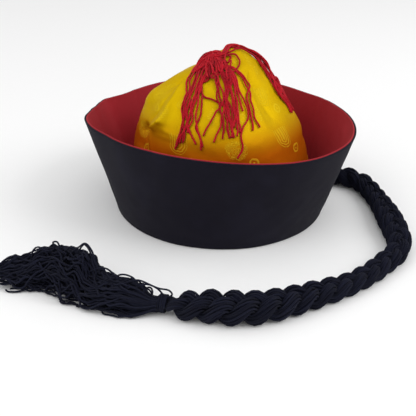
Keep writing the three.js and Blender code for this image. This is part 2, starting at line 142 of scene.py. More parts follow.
def smooth_table(places: Array, values: Array, at: Array) -> Array:
    """Reads a table smoothly between its rows, without swinging past them.

    Args:
        places: The rows' places, rising.
        values: The value of each row.
        at: The places to read.

    Returns:
        The values there, by monotone cubic pieces.
    """
    gaps = np.diff(places)
    steps = np.diff(values) / gaps
    slopes = np.zeros_like(values)
    slopes[0], slopes[-1] = steps[0], steps[-1]
    before, after = steps[:-1], steps[1:]
    first = 2.0 * gaps[1:] + gaps[:-1]
    second = gaps[1:] + 2.0 * gaps[:-1]
    same = before * after > 0
    safe_before = np.where(same, before, 1.0)
    safe_after = np.where(same, after, 1.0)
    slopes[1:-1] = np.where(same, (first + second) / (first / safe_before + second / safe_after), 0.0)
    row = np.clip(np.searchsorted(places, at, side="right") - 1, 0, len(gaps) - 1)
    share = (at - places[row]) / gaps[row]
    ends = values[row], values[row + 1]
    return eased(share, ends, (gaps[row] * slopes[row], gaps[row] * slopes[row + 1]))


def between(rows: Array, places: Array) -> Array:
    """Reads the rows of a table in a straight line between them, at places counted in rows."""
    low = np.minimum(places.astype(int), len(rows) - 2)
    part = (places - low)[..., None]
    return rows[low] * (1.0 - part) + rows[low + 1] * part


def yarn_tones(rng: Random, count: int) -> Array:
    """A random tone for each of many yarns, most of them light."""
    return rng.uniform(0.0, 1.0, count) ** 2


class Ripples:
    """Soft, seeded unevenness: a sum of waves in random directions through space."""

    spread: Pair = (0.6, 1.7)

    def __init__(self, seed: int, wavelength: float, count: int = 14) -> None:
        """Draws the waves.

        Args:
            seed: The seed of the random draws.
            wavelength: The middle wavelength in metres.
            count: How many waves are added up.
        """
        rng = np.random.default_rng(seed)
        lengths = wavelength * rng.uniform(*self.spread, count)
        self.vectors = unit(rng.normal(size=(count, 3))) * (TURN / lengths)[:, None]
        self.phases = rng.uniform(0.0, TURN, count)
        self.level = math.sqrt(2.0 / count)

    def at(self, points: Array) -> Array:
        """The unevenness at each point, around 0 and mostly within 1 either way."""
        return np.sin(points @ self.vectors.T + self.phases).sum(axis=-1) * self.level


@dataclass(frozen=True)
class Dents:
    """Seeded unevenness of a cloth, with its wavelength in metres and its depth."""

    seed: int
    wavelength: float
    depth: float

    def at(self, points: Array) -> Array:
        """The step at each point, as a part of the depth either way."""
        return self.depth * Ripples(self.seed, self.wavelength).at(points)


class Wander:
    """A seeded smooth drift along the length of each of many yarns."""

    rate_spread: Pair = (0.6, 1.5)

    def __init__(self, rng: Random, count: int, waves: int = 4) -> None:
        """Draws the drift of each yarn.

        Args:
            rng: The random generator.
            count: How many yarns there are.
            waves: How many waves each drift is made of.
        """
        self.phases = rng.uniform(0.0, TURN, (count, waves))
        self.rates = rng.uniform(*self.rate_spread, (count, waves)) * np.arange(1, waves + 1)
        self.levels = rng.normal(size=(count, waves)) / np.arange(1, waves + 1)

    def along(self, share: Array, turns: float) -> Array:
        """The drift of each yarn at shares of its length, with so many turns of the slowest wave."""
        angle = TURN * turns * self.rates[:, None, :] * np.asarray(share)[None, :, None]
        return (np.sin(angle + self.phases[:, None, :]) * self.levels[:, None, :]).sum(axis=-1)


@dataclass
class Surface:
    """A mesh in the making: points, faces, and for each face's corner a place on the cloth or yarn."""

    points: Array
    faces: list[list[int]]
    cloth: Array
    tone: Array

    def joined(self, other: "Surface") -> "Surface":
        """This surface and another as one."""
        shift = len(self.points)
        return Surface(
            np.vstack([self.points, other.points]),
            self.faces + [[corner + shift for corner in face] for face in other.faces],
            np.vstack([self.cloth, other.cloth]),
            np.concatenate([self.tone, other.tone]),
        )

    def build(self, name: str) -> Object:
        """Makes the Blender object.

        Args:
            name: The piece's name.

        Returns:
            The smooth-shaded mesh object, linked to the scene.
        """
        mesh = bpy.data.meshes.new(name)
        mesh.from_pydata(self.points.tolist(), [], self.faces)
        layer = mesh.uv_layers.new(name="cloth")
        layer.data.foreach_set("uv", self.cloth.astype(np.float32).ravel())
        tone = mesh.attributes.new("tone", "FLOAT", "POINT")
        tone.data.foreach_set("value", self.tone.astype(np.float32))
        mesh.polygons.foreach_set("use_smooth", [True] * len(mesh.polygons))
        mesh.update()
        piece = bpy.data.objects.new(name, mesh)
        bpy.context.scene.collection.objects.link(piece)
        return piece


def corners(left: Array, right: Array, low: Array, high: Array) -> Array:
    """The four corners of each face, as places across and along, in the order of its points."""
    pairs = ((left, low), (right, low), (right, high), (left, high))
    return np.stack([np.stack(pair, -1) for pair in pairs], axis=-2).reshape(-1, 4, 2)


def band_faces(rows: int, columns: int, steps: int, across: Array, along: Array) -> tuple[Array, Array]:
    """The faces between rings of points.

    Args:
        rows: How many rings there are.
        columns: How many points each ring has.
        steps: How many gaps between rings are filled; as many as rings closes the last to the first.
        across: The cloth's place of each column and of the first again, in metres.
        along: The cloth's place of each row, in metres.

    Returns:
        The faces, and the places of their corners on the cloth.
    """
    row, column = np.meshgrid(np.arange(steps), np.arange(columns), indexing="ij")
    here, there, beside = row * columns, (row + 1) % rows * columns, (column + 1) % columns
    faces = np.stack([here + column, here + beside, there + beside, there + column], axis=-1)
    places = corners(across[column], across[column + 1], along[row], along[row + 1])
    return faces.reshape(-1, 4), places


def yarns(lines: Array, radius: Array, tones: Array, sides: int = 6) -> Surface:
    """Makes round yarns along lines, with closed ends.

    Args:
        lines: Points by yarn and step.
        radius: The yarns' radius, one value or one for each yarn and step.
        tones: How light or dark each yarn is, from 0 to 1.
        sides: Sides of each yarn.

    Returns:
        All the yarns as one surface; its cloth places are turns round the yarn and metres along it.
    """
    count, steps = lines.shape[:2]
    radii = np.broadcast_to(np.asarray(radius, float), (count, steps))
    tangents = unit(np.gradient(lines, axis=1))
    normal = np.cross(tangents[:, 0], ASIDE)
    normals = np.empty_like(lines)
    for step in range(steps):
        tangent = tangents[:, step]
        normal = unit(normal - (normal * tangent).sum(-1, keepdims=True) * tangent)
        normals[:, step] = normal
    sideways = np.cross(tangents, normals)
    angles = TURN * np.arange(sides) / sides
    ring = normals[:, :, None] * np.cos(angles)[:, None] + sideways[:, :, None] * np.sin(angles)[:, None]
    points = (lines[:, :, None] + ring * radii[:, :, None, None]).reshape(-1, 3)
    yarn, step, side = np.meshgrid(*map(np.arange, (count, steps - 1, sides)), indexing="ij")
    first = (yarn * steps + step) * sides
    next_side = (side + 1) % sides
    second = first + sides
    quads = np.stack([first + side, first + next_side, second + next_side, second + side], axis=-1)
    travelled = np.linalg.norm(np.diff(lines, axis=1), axis=-1).cumsum(axis=1)
    travelled = np.concatenate([np.zeros((count, 1)), travelled], axis=1)
    here, there = travelled[yarn, step], travelled[yarn, step + 1]
    low, high = side / sides, (side + 1) / sides
    cloth = corners(low, high, here, there)
    starts = np.arange(count)[:, None] * steps * sides
    round_once = np.arange(sides)
    caps = np.concatenate([starts + round_once[::-1], starts + (steps - 1) * sides + round_once])
    faces = quads.reshape(-1, 4).tolist() + caps.tolist()
    cloth = np.vstack([cloth.reshape(-1, 2), np.zeros((caps.size, 2))])
    return Surface(points, faces, cloth, np.repeat(tones, steps * sides))


class NodeSheet:
    """A material's nodes, with short ways to add, join and work them out."""

    def __init__(self, name: str) -> None:
        """Starts a material with a Principled surface.

        Args:
            name: The material's name.
        """
        self.material = bpy.data.materials.new(name)
        self.material.use_nodes = True
        self.tree = self.material.node_tree
        self.surface = self.tree.nodes["Principled BSDF"]

    def add(self, kind: str, **settings: object) -> Node:
        """Adds a node of a kind and sets its properties."""
        node = self.tree.nodes.new(kind)
        for name, value in settings.items():
            setattr(node, name, value)
        return node

    def put(self, socket: NodeSocket, value: object) -> None:
        """Sets a socket to a number or colour, or joins another socket to it."""
        if isinstance(value, NodeSocket):
            self.tree.links.new(value, socket)
        else:
            socket.default_value = value

    def math(self, operation: str, first: object, second: object = 0.0) -> NodeSocket:
        """The result of one sum on two sockets or numbers."""
        node = self.add("ShaderNodeMath", operation=operation)
        self.put(node.inputs[0], first)
        self.put(node.inputs[1], second)
        return node.outputs[0]

    def times(self, first: object, second: object) -> NodeSocket:
        """The product of two sockets or numbers."""
        return self.math("MULTIPLY", first, second)

    def plus(self, first: object, second: object) -> NodeSocket:
        """The sum of two sockets or numbers."""
        return self.math("ADD", first, second)

    def range(self, value: object, low: float, high: float, start: float, end: float) -> NodeSocket:
        """Carries a value from one range to another, smoothly and within its ends."""
        node = self.add("ShaderNodeMapRange", interpolation_type="SMOOTHSTEP")
        for socket, setting in zip(node.inputs, (value, low, high, start, end)):
            self.put(socket, setting)
        return node.outputs[0]

    def noise(self, vector: object, scale: float, detail: float = 2.0) -> NodeSocket:
        """Soft noise at so many patches a metre, from 0 to 1."""
        node = self.add("ShaderNodeTexNoise")
        self.put(node.inputs["Vector"], vector)
        node.inputs["Scale"].default_value = scale
        node.inputs["Detail"].default_value = detail
        return node.outputs["Fac"]

    def mix(self, share: object, first: object, second: object) -> NodeSocket:
        """A colour between two, by a share."""
        node = self.add("ShaderNodeMix", data_type="RGBA")
        self.put(node.inputs["Factor"], share)
        self.put(node.inputs["A"], first)
        self.put(node.inputs["B"], second)
        return node.outputs["Result"]

    def places(self) -> tuple[NodeSocket, NodeSocket, NodeSocket]:
        """The cloth's or yarn's places: both as one vector, then across, then along."""
        node = self.add("ShaderNodeUVMap", uv_map="cloth")
        split = self.add("ShaderNodeSeparateXYZ")
        self.put(split.inputs[0], node.outputs[0])
        return node.outputs[0], split.outputs[0], split.outputs[1]

    def solid_place(self) -> NodeSocket:
        """The place in the object's own space."""
        return self.add("ShaderNodeTexCoord").outputs["Object"]

    def raise_by(self, height: object, depth: float, strength: float = 1.0) -> None:
        """Bumps the surface by a height from 0 to 1, times a depth in metres."""
        node = self.add("ShaderNodeBump")
        node.inputs["Strength"].default_value = strength
        node.inputs["Distance"].default_value = depth
        self.put(node.inputs["Height"], height)
        self.put(self.surface.inputs["Normal"], node.outputs[0])

    def set(self, values: dict[str, float]) -> None:
        """Sets uniform values on the surface's own sockets."""
        for name, value in values.items():
            self.surface.inputs[name].default_value = value

    def matt(self, finish: "ClothFinish | YarnFinish") -> None:
        """Sets a matt finish's roughness, gloss and sheen."""
        self.set(
            {
                "Roughness": finish.roughness,
                "Specular IOR Level": finish.specular,
                "Sheen Weight": finish.sheen,
                "Sheen Roughness": finish.sheen_roughness,
            }
        )


@dataclass(frozen=True)
class ClothFinish:
    """A matt woven cotton."""

    name: str
    slot: Slot
    color: Color
    worn: Color
    thread: float = 0.55 * MM
    weave_depth: float = 0.1 * MM
    roughness: float = 0.9
    specular: float = 0.12
    sheen: float = 0.03
    sheen_roughness: float = 0.5
    patch_scale: float = 26.0
    patch_detail: float = 4.0
    patch_range: Pair = (0.42, 0.68)
    patch_share: float = 0.8
    slub_scale: float = 900.0
    slub_height: float = 0.8
    slub_range: Pair = (0.35, 0.7)
    slub_share: float = 0.35

    def material(self) -> Material:
        """Makes the material: plain weave, and soft worn or dusty patches."""
        sheet = NodeSheet(self.name)
        _, across, along = sheet.places()
        warp = sheet.math("SINE", sheet.times(across, TURN / self.thread))
        weft = sheet.math("SINE", sheet.times(along, TURN / self.thread))
        weave = sheet.math("MULTIPLY_ADD", sheet.times(warp, weft), 0.5)
        place = sheet.solid_place()
        slub = sheet.noise(place, self.slub_scale)
        height = sheet.plus(weave, sheet.times(slub, self.slub_height))
        cloudy = sheet.noise(place, self.patch_scale, self.patch_detail)
        patches = sheet.range(cloudy, *self.patch_range, 0.0, 1.0)
        fine = sheet.range(slub, *self.slub_range, 0.0, self.slub_share)
        share = sheet.math("MAXIMUM", sheet.times(patches, self.patch_share), fine)
        sheet.put(sheet.surface.inputs["Base Color"], sheet.mix(share, self.color, self.worn))
        sheet.raise_by(height, self.weave_depth)
        sheet.matt(self)
        return sheet.material


@dataclass(frozen=True)
class YarnFinish:
    """A soft twisted yarn."""

    name: str
    slot: Slot
    color: Color
    # The yarn's deepest tone, which is also the colour of the painted shade between the plies
    dark_tone_and_ply_shade: Color
    plies: int = 3
    ply_length: float = 3.6 * MM
    ply_depth: float = 0.25 * MM
    # Painted shade between the plies: how far it reaches from the hollows, and how strong it is there
    ply_shade_width: float = 0.5
    ply_shade_share: float = 0.7
    tone_share: float = 0.8
    fibre_scale: float = 2600.0
    fibre_height: float = 0.5
    roughness: float = 0.95
    specular: float = 0.1
    sheen: float = 0.03
    sheen_roughness: float = 0.4

    def material(self) -> Material:
        """Makes the material: twisted plies with painted shade in the hollows between them, and each yarn
        of its own tone.
        """
        sheet = NodeSheet(self.name)
        _, across, along = sheet.places()
        turned = sheet.plus(sheet.times(along, 1.0 / self.ply_length), across)
        ply = sheet.math("SINE", sheet.times(turned, TURN * self.plies))
        ridge = sheet.math("ABSOLUTE", ply)
        fibre = sheet.noise(sheet.solid_place(), self.fibre_scale)
        height = sheet.plus(ridge, sheet.times(fibre, self.fibre_height))
        tone = sheet.add("ShaderNodeAttribute", attribute_name="tone").outputs["Fac"]
        # Painted shade in the hollows between the plies
        ply_shade = sheet.range(ridge, 0.0, self.ply_shade_width, self.ply_shade_share, 0.0)
        share = sheet.math("MINIMUM", sheet.plus(ply_shade, sheet.times(tone, self.tone_share)), 1.0)
        sheet.put(sheet.surface.inputs["Base Color"], sheet.mix(share, self.color, self.dark_tone_and_ply_shade))
        sheet.raise_by(height, self.ply_depth)
        sheet.matt(self)
        return sheet.material


@dataclass(frozen=True)
class BrocadeFinish:
    """A yellow satin with woven figures: clouds, sprigs, rings and ribbed lozenges."""

    name: str = "yellow_brocade"
    slot: Slot = Slot.YELLOW_SATIN
    color: Color = (0.64, 0.42, 0.003, 1.0)
    figure: Color = (0.76, 0.56, 0.02, 1.0)
    deep: Color = (0.54, 0.31, 0.002, 1.0)
    # Painted shade and painted red light bounced off the lining: the orange-brown that the crown turns to
    # towards its hem, how strong it is, and the heights where it is full and where it ends
    low: Color = (0.42, 0.075, 0.002, 1.0)
    painted_shade_share: float = 0.92
    painted_shade_from: float = 66 * MM
    painted_shade_to: float = 97 * MM
    repeat_across: float = TURN * 60 * MM / 9
    repeat_along: float = 36 * MM
    cloud_place: Pair = (0.46, 0.29)
    ring_place: Pair = (0.20, 0.62)
    lozenge_place: Pair = (0.81, 0.03)
    lozenge_rows: float = 72 * MM
    cloud: float = 7.0 * MM
    cloud_pitch: float = 2.2 * MM
    cloud_top: float = 8.5 * MM
    sprig: float = 7.4 * MM
    sprig_grain: float = 300.0
    sprig_step: float = 0.14
    ring: float = 3.1 * MM
    ring_reach: float = 1.3
    lozenge: float = 4.0 * MM
    lozenge_slope: float = 0.5
    lozenge_pitch: float = 1.7 * MM
    edge: float = 0.4 * MM
    line_range: Pair = (-0.3, 0.5)
    float_pitch: float = 0.5 * MM
    float_height: float = 0.1
    figure_depth: float = 0.12 * MM
    figure_share: float = 0.44
    waver: float = 3.6 * MM
    waver_scales: Pair = (150.0, 210.0)
    grain_scale: float = 700.0
    grain_height: float = 0.15
    patch_scale: float = 45.0
    patch_detail: float = 3.0
    patch_range: Pair = (0.35, 0.7)
    patch_share: float = 0.35
    roughness: float = 0.46
    figure_roughness: float = 0.14
    specular: float = 0.03
    metallic: float = 0.3

    def middle(self, sheet: NodeSheet, place: Pair, rows: float) -> tuple[NodeSocket, ...]:
        """Where a point of the cloth is in its repeat.

        Args:
            sheet: The material's nodes.
            place: The shares of a repeat that the figures are moved by, both ways.
            rows: The distance of the rows of figures.

        Returns:
            The distances from the figure's middle, across and along, and the repeat's number.
        """
        _, across, along = sheet.places()
        reach = []
        repeats = (self.repeat_across, rows)
        for spot, repeat, shift, scale in zip((across, along), repeats, place, self.waver_scales):
            moved = sheet.plus(sheet.math("DIVIDE", spot, repeat), shift)
            near = sheet.times(sheet.math("SUBTRACT", sheet.math("FRACT", moved), 0.5), repeat)
            uneven = sheet.math("SUBTRACT", sheet.noise(sheet.solid_place(), scale), 0.5)
            reach.append(sheet.plus(near, sheet.times(uneven, self.waver)))
        number = sheet.plus(sheet.math("DIVIDE", across, self.repeat_across), place[0])
        return reach[0], reach[1], sheet.math("FLOOR", number)

    def reach(self, sheet: NodeSheet, x: object, y: object) -> NodeSocket:
        """The straight distance of two distances."""
        return sheet.math("SQRT", sheet.plus(sheet.math("POWER", x, 2.0), sheet.math("POWER", y, 2.0)))

    def lines(self, sheet: NodeSheet, value: object, pitch: float) -> NodeSocket:
        """Lines across a distance, one in each pitch."""
        wave = sheet.math("SINE", sheet.times(value, TURN / pitch))
        return sheet.range(wave, *self.line_range, 0.0, 1.0)

    def within(self, sheet: NodeSheet, value: object, limit: float) -> NodeSocket:
        """A socket that is 1 up to a limit and 0 past it."""
        return sheet.range(value, limit, limit + self.edge, 1.0, 0.0)

    def clouds(self, sheet: NodeSheet, x: object, y: object) -> NodeSocket:
        """A cloud of lines that are round below and run straight up."""
        reach = self.reach(sheet, x, sheet.math("MINIMUM", y, 0.0))
        inside = sheet.times(
            self.within(sheet, reach, self.cloud), self.within(sheet, y, self.cloud_top)
        )
        return sheet.times(self.lines(sheet, reach, self.cloud_pitch), inside)

    def sprigs(self, sheet: NodeSheet, x: object, y: object) -> NodeSocket:
        """A round patch of small curls."""
        grain = sheet.noise(sheet.solid_place(), self.sprig_grain, 0.0)
        curls = self.lines(sheet, grain, self.sprig_step)
        return sheet.times(curls, self.within(sheet, self.reach(sheet, x, y), self.sprig))

    def rings(self, sheet: NodeSheet, x: object, y: object) -> NodeSocket:
        """A small ring with a dot in it."""
        reach = self.reach(sheet, x, y)
        shifted = sheet.plus(reach, self.ring / 4.0)
        inside = self.within(sheet, reach, self.ring * self.ring_reach)
        return sheet.times(self.lines(sheet, shifted, self.ring), inside)

    def lozenges(self, sheet: NodeSheet, x: object, y: object) -> NodeSocket:
        """A ribbed lozenge."""
        rising = sheet.times(sheet.math("ABSOLUTE", y), self.lozenge_slope)
        reach = sheet.plus(sheet.math("ABSOLUTE", x), rising)
        ribs = self.lines(sheet, y, self.lozenge_pitch)
        return sheet.times(ribs, self.within(sheet, reach, self.lozenge))

    def figures(self, sheet: NodeSheet) -> NodeSocket:
        """All the woven figures; the socket is 1 on their lines and 0 between them."""
        x, y, number = self.middle(sheet, self.cloud_place, self.repeat_along)
        odd = sheet.math("MODULO", number, 2.0)
        even = sheet.math("SUBTRACT", 1.0, odd)
        clouds = sheet.times(self.clouds(sheet, x, y), even)
        large = sheet.plus(clouds, sheet.times(self.sprigs(sheet, x, y), odd))
        x, y, _ = self.middle(sheet, self.ring_place, self.repeat_along)
        small = self.rings(sheet, x, y)
        x, y, _ = self.middle(sheet, self.lozenge_place, self.lozenge_rows)
        return sheet.math("MAXIMUM", sheet.math("MAXIMUM", large, small), self.lozenges(sheet, x, y))

    def material(self) -> Material:
        """Makes the material: satin floats, figures in its own tone, and painted shade with painted red
        light from the lining towards the hem.
        """
        sheet = NodeSheet(self.name)
        _, across, _ = sheet.places()
        figures = self.figures(sheet)
        floats = sheet.math("SINE", sheet.times(across, TURN / self.float_pitch))
        grain = sheet.noise(sheet.solid_place(), self.grain_scale)
        height = sheet.plus(figures, sheet.times(floats, self.float_height))
        height = sheet.plus(height, sheet.times(grain, self.grain_height))
        cloudy = sheet.noise(sheet.solid_place(), self.patch_scale, self.patch_detail)
        soft = sheet.range(cloudy, *self.patch_range, 0.0, self.patch_share)
        base = sheet.mix(soft, self.color, self.deep)
        split = sheet.add("ShaderNodeSeparateXYZ")
        sheet.put(split.inputs[0], sheet.solid_place())
        # Painted shade and painted red bounce light: full near the hem and gone higher up
        painted_shade_mask = sheet.range(split.outputs[2], self.painted_shade_from, self.painted_shade_to, self.painted_shade_share, 0.0)
        base = sheet.mix(painted_shade_mask, base, self.low)
        woven = sheet.mix(sheet.times(figures, self.figure_share), base, self.figure)
        sheet.put(sheet.surface.inputs["Base Color"], woven)
        dulled = sheet.plus(self.roughness, sheet.times(figures, self.figure_roughness))
        sheet.put(sheet.surface.inputs["Roughness"], dulled)
        sheet.raise_by(height, self.figure_depth)
        sheet.set({"Specular IOR Level": self.specular, "Metallic": self.metallic})
        sheet.surface.inputs["Specular Tint"].default_value = self.figure
        return sheet.material


Finish = ClothFinish | YarnFinish | BrocadeFinish

BLACK_CLOTH = ClothFinish(
    "black_cotton", Slot.BLACK_CLOTH, (0.0068, 0.0058, 0.0122, 1.0), (0.0106, 0.0096, 0.0192, 1.0)
)
RED_LINING = ClothFinish(
    "red_cotton", Slot.RED_LINING, (0.35, 0.017, 0.026, 1.0), (0.42, 0.025, 0.037, 1.0),
    roughness=0.85, specular=0.18,
)
RED_YARN = YarnFinish(
    "red_yarn", Slot.RED_YARN, (0.64, 0.012, 0.026, 1.0), (0.36, 0.006, 0.014, 1.0), sheen=0.06
)
BLACK_YARN = YarnFinish(
    "black_yarn", Slot.BLACK_YARN, (0.0130, 0.0145, 0.0310, 1.0), (0.0062, 0.0067, 0.0150, 1.0)
)


def hand_in(surface: Surface, name: str, finish: Finish, node: str) -> Object:
    """Builds a piece, dresses it and ties it to the frame.

    Args:
        surface: The piece's surface.
        name: The piece's name.
        finish: Its finish, which knows the record's slot that it belongs to.
        node: The CAD node that the piece stands for.

    Returns:
        The piece.
    """
    piece = surface.build(name)
    piece.data.materials.append(finish.material())
    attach(piece, BODY)
    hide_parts(node)
    lowest = min(corner.co.z for corner in piece.data.vertices)
    LOG.info("%s: %d faces, lowest point %.4f m", piece.name, len(piece.data.polygons), lowest)
    return piece


@dataclass(frozen=True)
class Studio:
    """The camera at the photo's angle, a pale floor and soft light."""

    position: Point = (-10.5 * MM, -586.3 * MM, 288.2 * MM)
    elevation: float = 27.0
    roll: float = 0.673
    focal_pixels: float = 704.8
    page_pixels: float = 416.0
    sensor: float = 36.0
    clip: Pair = (0.01, 20.0)
    floor_half: float = 4.0
    floor_grain: float = 120.0
    floor_shade: float = 0.985
    floor_roughness: float = 0.8
    floor_color: Color = (0.93, 0.93, 0.93, 1.0)
    page_color: Color = (1.0, 1.0, 1.0, 1.0)
    zenith: float = 1.12
    horizon: float = 0.42
    sky_range: Pair = (-0.1, 0.8)
    # Name, place, width and power in watts
    lamps: tuple[tuple[str, Point, float, float], ...] = (
        ("key", (1.35, -0.35, 1.2), 1.1, 12.0),
        ("fill", (-1.2, -0.9, 1.2), 1.4, 8.5),
    )

    def camera(self) -> None:
        """Makes the scene's camera, with the photo's place, tilt and lens."""
        lens = bpy.data.cameras.new("camera")
        lens.sensor_width = self.sensor
        lens.lens = self.focal_pixels / self.page_pixels * self.sensor
        lens.clip_start, lens.clip_end = self.clip
        tilt, roll = math.radians(self.elevation), math.radians(self.roll)
        back = Vector((0.0, -math.cos(tilt), math.sin(tilt)))
        level = Vector((1.0, 0.0, 0.0))
        upright = back.cross(level)
        right = math.cos(roll) * level + math.sin(roll) * upright
        camera = bpy.data.objects.new("camera", lens)
        turned = Matrix((right, back.cross(right), back)).transposed()
        camera.matrix_world = Matrix.Translation(self.position) @ turned.to_4x4()
        bpy.context.scene.collection.objects.link(camera)
        bpy.context.scene.camera = camera

    def floor(self) -> None:
        """Makes the pale floor."""
        half = self.floor_half
        mesh = bpy.data.meshes.new("floor")
        square = [(-half, -half, 0), (half, -half, 0), (half, half, 0), (-half, half, 0)]
        mesh.from_pydata(square, [], [(0, 1, 2, 3)])
        sheet = NodeSheet("pale_floor")
        grain = sheet.noise(sheet.solid_place(), self.floor_grain)
        shade = tuple(self.floor_shade * value for value in self.floor_color[:3]) + (1.0,)
        sheet.put(sheet.surface.inputs["Base Color"], sheet.mix(grain, self.floor_color, shade))
        sheet.set({"Roughness": self.floor_roughness})
        mesh.materials.append(sheet.material)
        floor = bpy.data.objects.new("floor", mesh)
        bpy.context.scene.collection.objects.link(floor)

    def lamp(self, name: str, place: Point, size: float, power: float) -> None:
        """Adds one soft square lamp that faces the hat.

        Args:
            name: The lamp's name.
            place: Where it hangs.
            size: Its width.
            power: Its power in watts.
        """
        light = bpy.data.lights.new(name, "AREA")
        light.size = size
        light.energy = power
        lamp = bpy.data.objects.new(name, light)
        lamp.location = place
        lamp.rotation_mode = "QUATERNION"
        lamp.rotation_quaternion = (-Vector(place)).to_track_quat("-Z", "Y")
        bpy.context.scene.collection.objects.link(lamp)

    def surroundings(self) -> None:
        """Makes the white surroundings, whose light comes mostly from above."""
        world = bpy.data.worlds.new("studio")
        world.use_nodes = True
        tree = world.node_tree
        shown = tree.nodes["Background"]
        shown.inputs["Color"].default_value = self.page_color
        lit = tree.nodes.new("ShaderNodeBackground")
        place = tree.nodes.new("ShaderNodeTexCoord")
        split = tree.nodes.new("ShaderNodeSeparateXYZ")
        rise = tree.nodes.new("ShaderNodeMapRange")
        for socket, value in zip(rise.inputs[1:5], (*self.sky_range, self.horizon, self.zenith)):
            socket.default_value = value
        path = tree.nodes.new("ShaderNodeLightPath")
        mix = tree.nodes.new("ShaderNodeMixShader")
        for start, end in (
            (place.outputs["Generated"], split.inputs[0]),
            (split.outputs[2], rise.inputs[0]),
            (rise.outputs[0], lit.inputs["Strength"]),
            (path.outputs["Is Camera Ray"], mix.inputs[0]),
            (lit.outputs[0], mix.inputs[1]),
            (shown.outputs[0], mix.inputs[2]),
            (mix.outputs[0], tree.nodes["World Output"].inputs[0]),
        ):
            tree.links.new(start, end)
        bpy.context.scene.world = world

    def light(self) -> None:
        """Sets the surroundings and hangs the lamps."""
        self.surroundings()
        bpy.context.scene.view_settings.view_transform = "Standard"
        for lamp in self.lamps:
            self.lamp(*lamp)


@dataclass(frozen=True)
class Wave:
    """A wave of the rim, so many times round."""

    times: int
    cosine: float
    sine: float


@dataclass(frozen=True)
class Crease:
    """An upright crease of the brim wall: outward if its depth is positive, strongest at the rim."""

    angle: float
    half_angle: float
    depth: float


@dataclass(frozen=True)
class Kink:
    """An upright fold line where the brim wall turns: its angle, its reach in degrees and its depth."""

    angle: float
    reach: float
    depth: float


